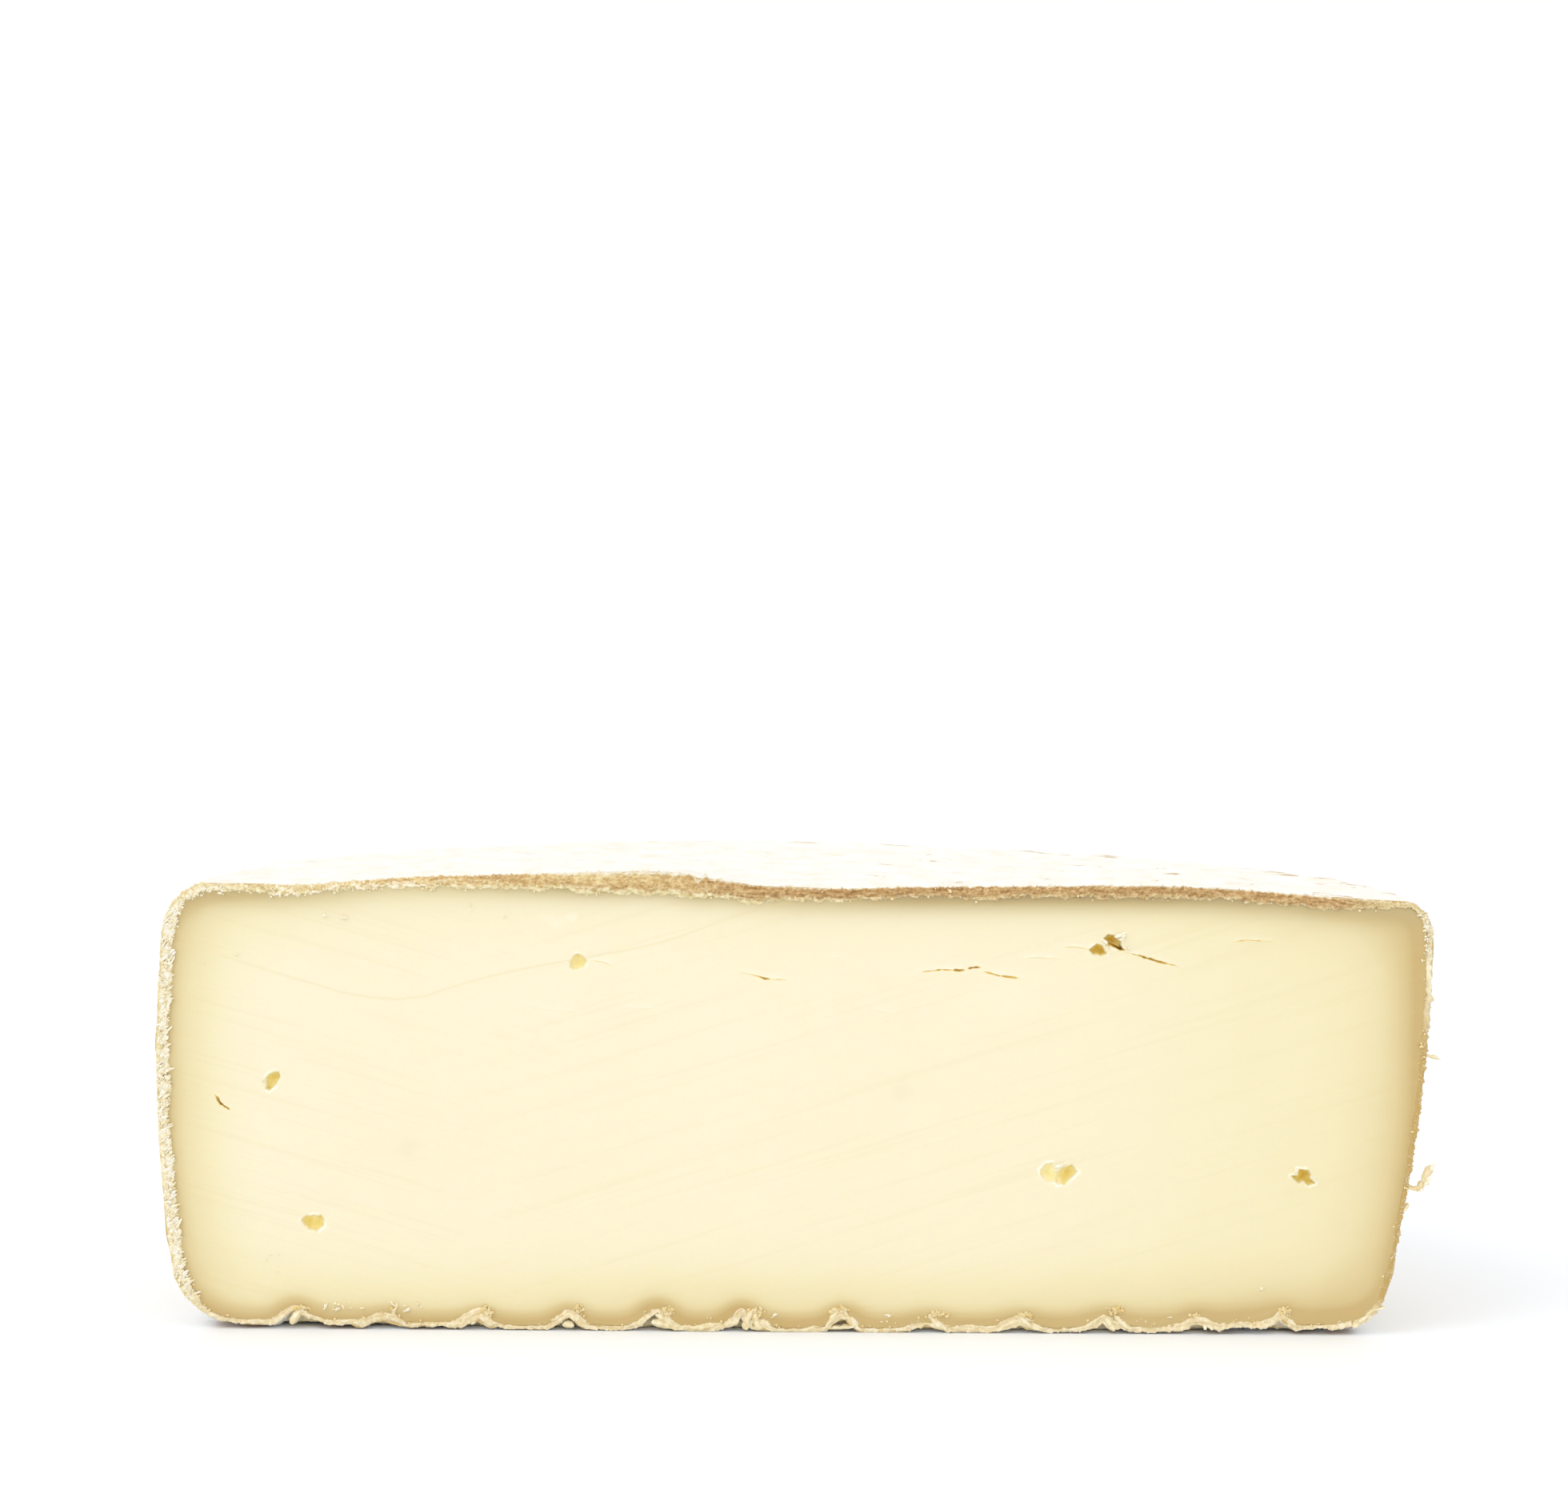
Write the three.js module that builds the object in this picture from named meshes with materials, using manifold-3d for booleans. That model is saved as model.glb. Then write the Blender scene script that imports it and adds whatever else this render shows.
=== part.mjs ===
// Half of a round, semi-soft cheese wheel with a mould-ripened rind, lying as it was cut.
// Millimetres, +Z up, origin at the bottom centre of the whole piece. The flat cut face looks
// along -Y, and the wheel's own axis is upright and lies in the cut, at y = cutPlane.
// The wheel ripened on a slatted mat: its underside keeps deep parallel grooves that run away
// from the cut, its top keeps shallow ones that run nearly along the cut, and short creases
// follow the rim of the underside. Eyes and splits open in the paste of the cut face.
import * as THREE from "three";
import { mergeVertices } from "three/addons/utils/BufferGeometryUtils.js";
import Module from "manifold-3d";

// ---------------------------------------------------------------- driving dimensions
const wheelRadius = 110;
const outOfRound = 0.8; // the wheel is this much narrower between its four fullest points
const cutPlane = -wheelRadius / 2;

const topHeight = 77.9; // at the wheel's axis
const topTilt = 0.015; // fall of the top for each millimetre towards +X
const topFall = { right: 0.3, left: 1.5, back: 1.3, from: 57, to: 96 }; // sinks towards the rim
const topSwells = [
  { x: -21, height: 1.7, left: 28, right: 9 },
  { x: 66, height: 1.0, left: 27, right: 26 },
]; // humps by the cut, with the widths of their two flanks
const swellReach = 40; // from the cut into the wheel

const side = { curve: 3.2, span: 40, widestRight: 68, widestLeft: 47 }; // slumped wall
const shoulder = { right: 6.5, left: 9.5 }; // radius of the upper edge, at each end of the cut
const foot = { right: 8, left: 12 }; // radius of the lower edge

const matPitch = 15.53; // from slat to slat
const underGroove = {
  first: -86.3, // x of the leftmost groove, at the cut
  count: 12,
  bow: 2.2, // the middle grooves stand this much further towards +X
  width: 8.4,
  depth: 3.1,
  shallowest: 0.6, // share of the depth that the leftmost groove has
  lean: 0.6, // the groove's crest stands off its middle, towards +X
  skew: 0.035, // drift in x for each millimetre away from the cut
};
const topGroove = { first: -16.3, count: 8, width: 9, depth: 0.8, skew: 0.16 };
const topNotch = { x: -17, length: 26, width: 3.2, depth: 1.4, turn: 0.25 };
const rimCrease = { count: 30, length: 19, width: 3.6, depth: 1.3, inset: 15, turn: 0.62 };

// Round openings in the cut face: centre x and z, half width, half height, depth and turn.
const eyes = [
  { x: -37.2, z: 64.2, wide: 1.7, high: 2.0, deep: 2.4, turn: 0.2 },
  { x: -90.0, z: 43.4, wide: 1.4, high: 2.1, deep: 2.6, turn: -0.45 },
  { x: -83.0, z: 18.6, wide: 2.1, high: 1.4, deep: 2.6, turn: 0.1 },
  { x: 52.8, z: 66.6, wide: 1.6, high: 1.0, deep: 3.0, turn: 0.3 },
  { x: 55.5, z: 68.1, wide: 1.6, high: 1.1, deep: 3.0, turn: -0.5 },
  { x: 44.8, z: 27.9, wide: 1.8, high: 1.2, deep: 1.6, turn: 0.0 },
  { x: 47.2, z: 28.2, wide: 1.7, high: 1.6, deep: 3.2, turn: 0.5 },
  { x: 88.3, z: 27.7, wide: 1.9, high: 1.1, deep: 2.8, turn: -0.5 },
];

// Splits in the cut face: both ends, the rise of their middle, and how far they gape.
const splits = [
  { from: [-99.8, 40.5], to: [-97.5, 38.2], rise: -0.2, gape: 0.8 },
  { from: [-34.8, 64.5], to: [-31.2, 63.6], rise: 0.2, gape: 0.3 },
  { from: [-9.8, 62.4], to: [1.2, 61.3], rise: -0.3, gape: 0.4 },
  { from: [21.3, 62.8], to: [32.4, 63.7], rise: 0.3, gape: 0.5 },
  { from: [32.6, 63.0], to: [39.9, 61.9], rise: -0.1, gape: 0.35 },
  { from: [39.5, 65.4], to: [45.8, 65.3], rise: 0.2, gape: 0.3 },
  { from: [46.3, 67.4], to: [52.4, 67.0], rise: -0.1, gape: 0.4 },
  { from: [57.0, 66.9], to: [66.2, 64.4], rise: 0.2, gape: 0.5 },
  { from: [75.4, 68.6], to: [83.1, 68.5], rise: 0.4, gape: 0.3 },
];
const splitDepth = 3;

// ---------------------------------------------------------------- resolution
const turns = 112; // steps round the whole wheel
const topRings = [0, 0.1, 0.17, 0.24, 0.33, 0.43, 0.54, 0.65, 0.75, 0.84, 0.92, 1];
const cornerSteps = 5;
const sideSteps = 6;
const profileSteps = 6; // across a groove
const grooveStep = 15; // along a groove

const wasm = await Module();
wasm.setup();

// ---------------------------------------------------------------- helpers
const mix = (right, left, share) => right + (left - right) * share;
const smoothStep = (from, to, value) => THREE.MathUtils.smoothstep(value, from, to);

function toSolid(geometry) {
  const bare = geometry.index ? geometry.toNonIndexed() : geometry.clone();
  bare.deleteAttribute("normal");
  bare.deleteAttribute("uv");
  const merged = mergeVertices(bare, 1e-4);
  return new wasm.Manifold(
    new wasm.Mesh({
      numProp: 3,
      vertProperties: new Float32Array(merged.attributes.position.array),
      triVerts: new Uint32Array(merged.index.array),
    }),
  );
}

function toGeometry(solid) {
  const mesh = solid.getMesh();
  const geometry = new THREE.BufferGeometry();
  geometry.setAttribute("position", new THREE.BufferAttribute(mesh.vertProperties, 3));
  geometry.setIndex(new THREE.BufferAttribute(mesh.triVerts, 1));
  geometry.computeVertexNormals();
  return geometry;
}

function moveVertices(geometry, place) {
  const position = geometry.attributes.position;
  const point = new THREE.Vector3();
  for (let i = 0; i < position.count; i += 1) {
    place(point.fromBufferAttribute(position, i), i);
    position.setXYZ(i, point.x, point.y, point.z);
  }
  return geometry;
}

// ---------------------------------------------------------------- the whole wheel
// Height of the top skin, x along the cut and y away from it, both from the wheel's axis.
function topSkin(x, y) {
  const distance = Math.hypot(x, y) || 1;
  const atEnds = x < 0 ? topFall.left : topFall.right;
  const fall = mix(topFall.back, atEnds, (x / distance) ** 2);
  const sunk = fall * smoothStep(topFall.from, topFall.to, distance);
  const humps = topSwells.map((swell) => {
    const flank = x < swell.x ? swell.left : swell.right;
    return swell.height * Math.exp(-(((x - swell.x) / flank) ** 2) - (y / swellReach) ** 2);
  });
  return topHeight - topTilt * x - sunk + humps[0] + humps[1];
}

// The wheel's half section in the direction `angle`: distance from the axis, and height.
function sectionAt(angle) {
  const leftness = (1 - Math.cos(angle)) / 2;
  const radius = wheelRadius - outOfRound * Math.sin(2 * angle) ** 2;
  const footRadius = mix(foot.right, foot.left, leftness);
  const shoulderRadius = mix(shoulder.right, shoulder.left, leftness);
  const widest = mix(side.widestRight, side.widestLeft, leftness);
  const wallAt = (height) => radius - side.curve * ((height - widest) / side.span) ** 2;
  const skinAt = (distance) => topSkin(distance * Math.cos(angle), distance * Math.sin(angle));

  const floorEdge = wallAt(footRadius) - footRadius;
  const points = [
    [0, 0],
    [floorEdge, 0],
  ];
  for (let k = 1; k <= cornerSteps; k += 1) {
    const turn = (k / cornerSteps) * (Math.PI / 2);
    const height = footRadius * (1 - Math.cos(turn));
    points.push([floorEdge + footRadius * Math.sin(turn), height]);
  }

  const wallTop = skinAt(radius) - shoulderRadius;
  for (let k = 1; k <= sideSteps; k += 1) {
    const height = mix(footRadius, wallTop, k / sideSteps);
    points.push([wallAt(height), height]);
  }

  const topEdge = wallAt(wallTop) - shoulderRadius;
  const edgeHeight = skinAt(topEdge);
  for (let k = 1; k < cornerSteps; k += 1) {
    const turn = (k / cornerSteps) * (Math.PI / 2);
    points.push([
      topEdge + shoulderRadius * Math.cos(turn),
      wallTop + (edgeHeight - wallTop) * Math.sin(turn),
    ]);
  }
  for (const share of [...topRings].reverse()) points.push([topEdge * share, skinAt(topEdge * share)]);
  return points.map(([distance, height]) => new THREE.Vector2(distance, height));
}

function wheel() {
  const sections = Array.from({ length: turns + 1 }, (_, i) =>
    sectionAt(((i % turns) / turns) * 2 * Math.PI),
  );
  const rows = sections[0].length;
  const skin = new THREE.LatheGeometry(sections[0], turns);
  moveVertices(skin, (point, index) => {
    const i = Math.floor(index / rows);
    const angle = ((i % turns) / turns) * 2 * Math.PI;
    const { x: distance, y: height } = sections[i][index % rows];
    point.set(distance * Math.cos(angle), cutPlane + distance * Math.sin(angle), height);
  });
  return toSolid(skin);
}

// ---------------------------------------------------------------- what is taken out of it
// A bar with a bell-shaped section that stands on z = 0 and runs along +Y from y = 0.
function bellBar({ width, depth, length, lean = 0, steps, sides = profileSteps }) {
  const below = 2;
  const section = new THREE.Shape();
  section.moveTo(-width / 2, -below);
  for (let k = 0; k <= sides; k += 1) {
    const across = (2 * k) / sides - 1;
    const bell = Math.cos((across * Math.PI) / 2) ** 2;
    section.lineTo((across * width) / 2 + lean * bell, depth * bell);
  }
  section.lineTo(width / 2, -below);
  const bar = new THREE.ExtrudeGeometry(section, { depth: length, steps, bevelEnabled: false });
  return moveVertices(bar, (point) => point.set(point.x, length - point.z, point.y));
}

function underGrooves() {
  const length = wheelRadius + 20;
  return Array.from({ length: underGroove.count }, (_, k) => {
    const share = k / (underGroove.count - 1);
    const grown = mix(underGroove.shallowest, 1, smoothStep(0, 0.3, share));
    const depth = underGroove.depth * grown * (1 + 0.14 * Math.sin(5.1 * k));
    const x = underGroove.first + matPitch * k + underGroove.bow * Math.sin(Math.PI * share);
    const bar = bellBar({
      ...underGroove,
      depth,
      length,
      steps: Math.round(length / grooveStep),
    });
    moveVertices(bar, (point) => {
      const wander = 0.7 * Math.sin(point.y / 23 + 2.1 * k);
      point.x += x + underGroove.skew * point.y + wander - 0.7 * Math.sin(2.1 * k);
      point.y += cutPlane - 10;
    });
    return toSolid(bar);
  });
}

function topGrooves() {
  const length = 2 * wheelRadius + 40;
  return Array.from({ length: topGroove.count }, (_, k) => {
    const bar = bellBar({ ...topGroove, length, steps: Math.round(length / grooveStep) });
    // Laid over on its back, along X, and sunk into the top skin by its own depth.
    moveVertices(bar, (point) => {
      const x = point.y - length / 2;
      const y =
        topGroove.first + matPitch * k + topGroove.skew * x + point.x + 0.8 * Math.sin(x / 27 + k);
      point.set(x, cutPlane + y, topSkin(x, y) - point.z);
    });
    return toSolid(bar);
  });
}

// A crease where the top skin was torn: it starts in the cut and fades away from it.
function tornNotch() {
  const bar = bellBar({ ...topNotch, steps: 5, sides: 4 });
  bar.rotateZ(topNotch.turn);
  // Turned upside down about its length, which keeps its faces pointing out.
  moveVertices(bar, (point) => {
    const x = topNotch.x - point.x;
    const fade = (1.3 * topNotch.depth * point.y) / topNotch.length;
    point.set(x, cutPlane + point.y - 2, topSkin(x, point.y) - point.z + fade);
  });
  return toSolid(bar);
}

function rimCreases() {
  return Array.from({ length: rimCrease.count }, (_, k) => {
    const angle = ((k + 0.5) / rimCrease.count) * Math.PI;
    const depth = rimCrease.depth * (1 + 0.25 * Math.sin(3.7 * k));
    const bar = bellBar({ ...rimCrease, depth, steps: 3, sides: 4 });
    bar.translate(0, -rimCrease.length / 2, 0);
    // The ends of a crease rise out of the cheese, so that it fades away.
    moveVertices(bar, (point) => {
      const along = (2 * point.y) / rimCrease.length;
      point.z -= along < 0 ? 1.2 * depth * along ** 2 : 0;
    });
    bar.rotateZ(angle - Math.PI / 2 + rimCrease.turn);
    const distance = wheelRadius - rimCrease.inset;
    bar.translate(distance * Math.cos(angle), cutPlane + distance * Math.sin(angle), 0);
    return toSolid(bar);
  });
}

function eyeHollow({ x, z, wide, high, deep, turn }, order) {
  const hollow = new THREE.IcosahedronGeometry(1, 2);
  moveVertices(hollow, (point) => {
    const dented = 1 + 0.14 * Math.sin(3 * point.x + order) * Math.cos(4 * point.z + 2 * order);
    point.multiplyScalar(dented);
  });
  hollow.scale(wide, deep, high);
  hollow.rotateY(turn);
  hollow.translate(x, cutPlane, z);
  return toSolid(hollow);
}

// A thin blade: lens-shaped on the cut face, and closing to an edge inside the paste.
function splitBlade({ from, to, rise, gape }) {
  const span = 6;
  const start = new THREE.Vector2(...from);
  const end = new THREE.Vector2(...to);
  const across = new THREE.Vector2(start.y - end.y, end.x - start.x).normalize();
  const lips = [];
  for (let k = 0; k <= span; k += 1) {
    const share = k / span;
    const arch = Math.sin(Math.PI * share);
    const jag = 0.12 * Math.sin(9 * k + from[0]);
    const middle = start.clone().lerp(end, share).addScaledVector(across, rise * arch + jag);
    lips.push({ middle, half: (gape / 2) * arch });
  }
  const outline = new THREE.Shape();
  const upper = lips.map(({ middle, half }) => middle.clone().addScaledVector(across, half));
  const lower = lips.map(({ middle, half }) => middle.clone().addScaledVector(across, -half));
  outline.setFromPoints([...upper, ...lower.slice(1, -1).reverse()]);
  const blade = new THREE.ExtrudeGeometry(outline, {
    depth: 2 * splitDepth,
    bevelEnabled: false,
  });
  moveVertices(blade, (point) => point.set(point.x, cutPlane + splitDepth - point.z, point.y));
  return toSolid(blade);
}

// ---------------------------------------------------------------- the half wheel
function halfWheel() {
  const reach = 4 * wheelRadius;
  const otherHalf = new THREE.BoxGeometry(reach, reach, reach);
  otherHalf.translate(0, cutPlane - reach / 2, 0);
  const cutters = [
    toSolid(otherHalf),
    ...underGrooves(),
    ...topGrooves(),
    tornNotch(),
    ...rimCreases(),
    ...eyes.map(eyeHollow),
    ...splits.map(splitBlade),
  ];
  return cutters.reduce((left, cutter) => left.subtract(cutter), wheel());
}

const cheese = new THREE.Mesh(
  toGeometry(halfWheel()),
  new THREE.MeshStandardMaterial({ color: 0xf2e6c4, roughness: 0.62, metalness: 0 }),
);
cheese.name = "cheese_half_wheel";

const part = new THREE.Group();
part.add(cheese);

export default part;
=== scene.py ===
# Half of a semi-soft cheese wheel: knife-cut paste, mould-ripened rind and its torn edge.
# Sizes and places are in millimetres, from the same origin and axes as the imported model.
import math
from functools import partial

import bpy
import numpy as np
from mathutils import Matrix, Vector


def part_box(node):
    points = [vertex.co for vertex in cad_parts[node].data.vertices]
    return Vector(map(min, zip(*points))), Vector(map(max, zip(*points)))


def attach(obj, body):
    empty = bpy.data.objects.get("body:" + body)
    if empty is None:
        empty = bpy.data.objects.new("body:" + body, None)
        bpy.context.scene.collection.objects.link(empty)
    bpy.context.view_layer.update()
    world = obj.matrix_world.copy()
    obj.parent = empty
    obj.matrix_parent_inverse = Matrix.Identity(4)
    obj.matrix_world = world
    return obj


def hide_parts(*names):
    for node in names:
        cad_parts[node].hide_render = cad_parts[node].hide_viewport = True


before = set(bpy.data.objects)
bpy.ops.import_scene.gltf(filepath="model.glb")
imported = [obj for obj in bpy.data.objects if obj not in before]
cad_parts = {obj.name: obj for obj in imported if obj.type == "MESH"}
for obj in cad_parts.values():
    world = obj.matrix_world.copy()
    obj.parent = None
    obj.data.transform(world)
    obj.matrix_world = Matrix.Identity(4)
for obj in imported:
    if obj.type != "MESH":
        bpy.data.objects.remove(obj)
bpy.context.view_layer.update()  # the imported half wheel, which stays as it is

mm = 0.001
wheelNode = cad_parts["cheese_half_wheel"]
wheelLow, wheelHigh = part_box("cheese_half_wheel")
cutPlane = wheelLow.y / mm
wheelRadius = (wheelHigh.x - wheelLow.x) / mm / 2
wheelHeight = wheelHigh.z / mm
print("frame: half wheel of", round(2 * wheelRadius), "by", round(wheelHeight), "mm")


# Points and selections.
def pointsOf(piece):
    flat = np.empty(3 * len(piece.data.vertices))
    piece.data.vertices.foreach_get("co", flat)
    return flat.reshape(-1, 3) / mm


def movePoints(piece, points):
    piece.data.vertices.foreach_set("co", (points * mm).ravel())
    piece.data.update()


def normalsOf(piece):
    flat = np.empty(3 * len(piece.data.vertices))
    piece.data.vertex_normals.foreach_get("vector", flat)
    return flat.reshape(-1, 3)


def edgesOf(piece):
    flat = np.empty(2 * len(piece.data.edges), int)
    piece.data.edges.foreach_get("vertices", flat)
    return flat.reshape(-1, 2)


def faceCentres(piece):
    flat = np.empty(3 * len(piece.data.polygons))
    piece.data.polygons.foreach_get("center", flat)
    return flat.reshape(-1, 3) / mm


def pickOnly(piece):
    bpy.ops.object.select_all(action="DESELECT")
    piece.select_set(True)
    bpy.context.view_layer.objects.active = piece


def editAll(piece):  # leaves the piece in edit mode with all of it selected
    pickOnly(piece)
    bpy.ops.object.mode_set(mode="EDIT")
    bpy.ops.mesh.select_all(action="SELECT")


def editFaces(piece, chosen):  # leaves the piece in edit mode with those faces selected
    editAll(piece)
    bpy.ops.mesh.select_mode(type="FACE")
    bpy.ops.mesh.select_all(action="DESELECT")
    bpy.ops.object.mode_set(mode="OBJECT")
    piece.data.polygons.foreach_set("select", chosen)
    bpy.ops.object.mode_set(mode="EDIT")


def closeRim(piece, forward):  # carries the open edge along -Y and caps it
    editAll(piece)
    bpy.ops.mesh.select_mode(type="EDGE")
    bpy.ops.mesh.select_all(action="DESELECT")
    bpy.ops.mesh.select_non_manifold()
    bpy.ops.mesh.extrude_region_move(TRANSFORM_OT_translate={"value": (0, -forward * mm, 0)})
    bpy.ops.mesh.edge_face_add()
    bpy.ops.object.mode_set(mode="OBJECT")


def finishWith(piece, kind, **settings):
    pickOnly(piece)
    modifier = piece.modifiers.new(kind.title(), kind)
    for name, value in settings.items():
        setattr(modifier, name, value)
    bpy.ops.object.modifier_apply(modifier=modifier.name)


def smoothShade(piece, angle=180):
    pickOnly(piece)
    bpy.ops.object.shade_smooth_by_angle(angle=math.radians(angle))


def nameIt(piece, name):
    piece.name = piece.data.name = name
    return piece


def storeOnPoints(piece, name, values):
    layer = piece.data.attributes.new(name, "FLOAT", "POINT")
    layer.data.foreach_set("value", np.asarray(values, np.float32))


def storeAsMap(piece, name, flatPoints):  # one u, v pair for each vertex
    corners = np.empty(len(piece.data.loops), int)
    piece.data.loops.foreach_get("vertex_index", corners)
    layer = piece.data.uv_layers.new(name=name)
    layer.data.foreach_set("uv", flatPoints[corners].astype(np.float32).ravel())


# Lines, steps and noise.
def rounded(line):  # the same open line with its corners cut, twice
    line = np.asarray(line, float)
    for _ in range(2):
        cuts = np.stack([0.75 * line[:-1] + 0.25 * line[1:], 0.25 * line[:-1] + 0.75 * line[1:]], axis=1)
        line = np.vstack([line[:1], cuts.reshape(-1, 2), line[-1:]])
    return line


def smoothStep(low, high, value):
    share = np.clip((value - low) / (high - low), 0, 1)
    return share * share * (3 - 2 * share)


def bump(value, middle, width):
    return np.exp(-(((value - middle) / width) ** 2))


def lumps(points, size, seed=0):  # smooth noise from -1 to 1; size is one lump's width
    cells = points / size + 13.7 * seed
    corner = np.floor(cells)
    share = cells - corner
    share = share * share * (3 - 2 * share)
    corner = corner.astype(np.int64)
    total = np.zeros(len(points))
    for step in np.ndindex(*(2,) * points.shape[1]):
        mixed = seed * 668265263
        weight = 1.0
        for axis, prime in zip(range(points.shape[1]), (374761393, 1103515245, 2246822519)):
            mixed = mixed + (corner[:, axis] + step[axis]) * prime
            weight = weight * (share[:, axis] if step[axis] else 1 - share[:, axis])
        mixed = (mixed ^ (mixed >> 13)) * 1274126177 & 0xFFFFFFFF
        mixed = (mixed ^ (mixed >> 16)) * 2246822519 & 0xFFFFFFFF
        total += weight * ((mixed >> 8 & 0xFFFF) / 32767.5 - 1)
    return total


def roundAverage(values, span):  # moving average along a closed line
    reach = np.arange(-span, span + 1)
    return np.mean([np.roll(values, k, axis=0) for k in reach], axis=0)


def average(piece, values, rounds):  # evens values out over neighbouring vertices
    ends = edgesOf(piece)
    count = np.bincount(ends.ravel(), minlength=len(values))[:, None]
    for _ in range(rounds):
        total = np.zeros_like(values)
        for axis in range(values.shape[1]):
            total[:, axis] = np.bincount(ends[:, 0], values[ends[:, 1], axis], len(values))
            total[:, axis] += np.bincount(ends[:, 1], values[ends[:, 0], axis], len(values))
        values = total / count
    return values


def gapToLine(points, line, closed=False):  # distance to a line, share along it, and side
    line = np.asarray(line, float)
    starts = line if closed else line[:-1]
    steps = (np.roll(line, -1, axis=0) - line)[: len(starts)]
    best = np.full(len(points), 1e9)
    along = np.zeros(len(points))
    side = np.zeros(len(points))
    for k, (start, step) in enumerate(zip(starts, steps)):
        offset = points - start
        share = np.clip(offset @ step / max(step @ step, 1e-9), 0, 1)
        gap = np.linalg.norm(offset - share[:, None] * step, axis=1)
        nearer = gap < best
        best[nearer] = gap[nearer]
        along[nearer] = (k + share[nearer]) / len(starts)
        side[nearer] = np.sign(step[0] * offset[:, 1] - step[1] * offset[:, 0])[nearer]
    return best, along, side


# The whole body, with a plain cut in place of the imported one.
eyeZone = {"deep": 4.5, "side": 9, "low": 8, "high": 7}  # its hollows lie within these, in mm


def plainWheel(name, forward):
    pickOnly(wheelNode)
    bpy.ops.object.duplicate()
    body = nameIt(bpy.context.object, name)
    body.parent = None
    for key in list(body.keys()):
        del body[key]
    editAll(body)
    bpy.ops.mesh.remove_doubles(threshold=0.002 * mm)
    bpy.ops.object.mode_set(mode="OBJECT")
    corners = np.empty(3 * len(body.data.polygons), int)
    body.data.polygons.foreach_get("vertices", corners)
    x, y, z = pointsOf(body)[corners.reshape(-1, 3)].T
    onCut = (y < cutPlane + 0.01).all(axis=0)
    inEye = (y < cutPlane + eyeZone["deep"]) & (abs(x) < wheelRadius - eyeZone["side"])
    inEye &= (z > eyeZone["low"]) & (z < wheelHeight - eyeZone["high"])
    editFaces(body, onCut | inEye.all(axis=0))
    bpy.ops.mesh.delete(type="FACE")
    bpy.ops.object.mode_set(mode="OBJECT")
    outline = openEdge(body)
    closeRim(body, forward)
    return body, outline


def openEdge(body):  # the open edge as x, z points in order, anticlockwise from the front
    uses = np.empty(len(body.data.loops), int)
    body.data.loops.foreach_get("edge_index", uses)
    rim = edgesOf(body)[np.bincount(uses, minlength=len(body.data.edges)) == 1]
    beside = {}
    for a, b in rim.tolist():
        beside.setdefault(a, []).append(b)
        beside.setdefault(b, []).append(a)
    points = pointsOf(body)
    walk = [min(beside, key=lambda v: points[v][2] - points[v][0] * 0.1)]
    left = set(beside) - {walk[0]}
    while True:
        ahead = [v for v in beside[walk[-1]] if v in left]
        if not ahead:
            break
        walk.append(ahead[0])
        left.discard(ahead[0])
    line = points[walk][:, (0, 2)]
    area = np.sum(line[:, 0] * np.roll(line[:, 1], -1) - np.roll(line[:, 0], -1) * line[:, 1])
    return line if area > 0 else line[::-1]


def evenSteps(line, spacing):  # the closed line again, with points at equal spacing
    closed = np.vstack([line, line[:1]])
    run = np.concatenate([[0], np.cumsum(np.linalg.norm(np.diff(closed, axis=0), axis=1))])
    count = int(run[-1] / spacing)
    at = np.linspace(0, run[-1], count, endpoint=False)
    return np.column_stack([np.interp(at, run, closed[:, k]) for k in (0, 1)])


def twoWays(points, angle):  # x, z turned by an angle: along it and across it
    along = points[:, 0] * math.cos(angle) + points[:, 1] * math.sin(angle)
    return along, points[:, 1] * math.cos(angle) - points[:, 0] * math.sin(angle)


# Materials.
def hexColour(text):  # sRGB hex to linear
    parts = [int(text[k : k + 2], 16) / 255 for k in (1, 3, 5)]
    linear = [p / 12.92 if p <= 0.04045 else ((p + 0.055) / 1.055) ** 2.4 for p in parts]
    return (*linear, 1)


def addNode(tree, kind, values=(), stops=(), output=0, **settings):  # values are numbers, colours or links
    node = tree.nodes.new("ShaderNode" + kind)
    for name, value in settings.items():
        setattr(node, name, value)
    for k, (place, colour) in enumerate(stops):
        stop = node.color_ramp.elements[k] if k < 2 else node.color_ramp.elements.new(place)
        stop.position = place
        stop.color = hexColour(colour) if isinstance(colour, str) else (colour,) * 3 + (1,)
    for key, value in values.items() if isinstance(values, dict) else enumerate(values):
        if isinstance(value, bpy.types.NodeSocket):
            tree.links.new(value, node.inputs[key])
        else:
            node.inputs[key].default_value = hexColour(value) if isinstance(value, str) else value
    return node.outputs[output] if node.outputs else node


def newMaterial(name):  # and the function that adds a node to it
    material = bpy.data.materials.new(name)
    material.use_nodes = True
    material.node_tree.nodes.clear()
    return material, partial(addNode, material.node_tree)


def inMillimetres(add, stretch=(1, 1, 1), turn=(0, 0, 0)):  # the piece's own place, turned and stretched
    here = add("TexCoord", output="Object")
    turned = add("Mapping", {"Vector": here, "Rotation": turn})
    return add("Mapping", {"Vector": turned, "Scale": [share / mm for share in stretch]})


def coats(add, colour, *layers):  # each layer: where it shows, times how much, and its colour
    for share, strength, tint in layers:
        share = add("Math", [share, strength], operation="MULTIPLY")
        colour = add("MixRGB", [share, colour, tint])
    return colour


def finishMaterial(add, colour, height, deep, surface):  # deep is the relief in millimetres
    normal = add("Bump", {"Height": height, "Distance": deep * mm, "Strength": 1.0})
    shader = add("BsdfPrincipled", {"Base Color": colour, "Normal": normal, **surface})
    add("OutputMaterial", {"Surface": shader})


def dress(piece, material):
    piece.data.materials.clear()
    piece.data.materials.append(material)
    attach(piece, "root")
    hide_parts("cheese_half_wheel")


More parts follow.
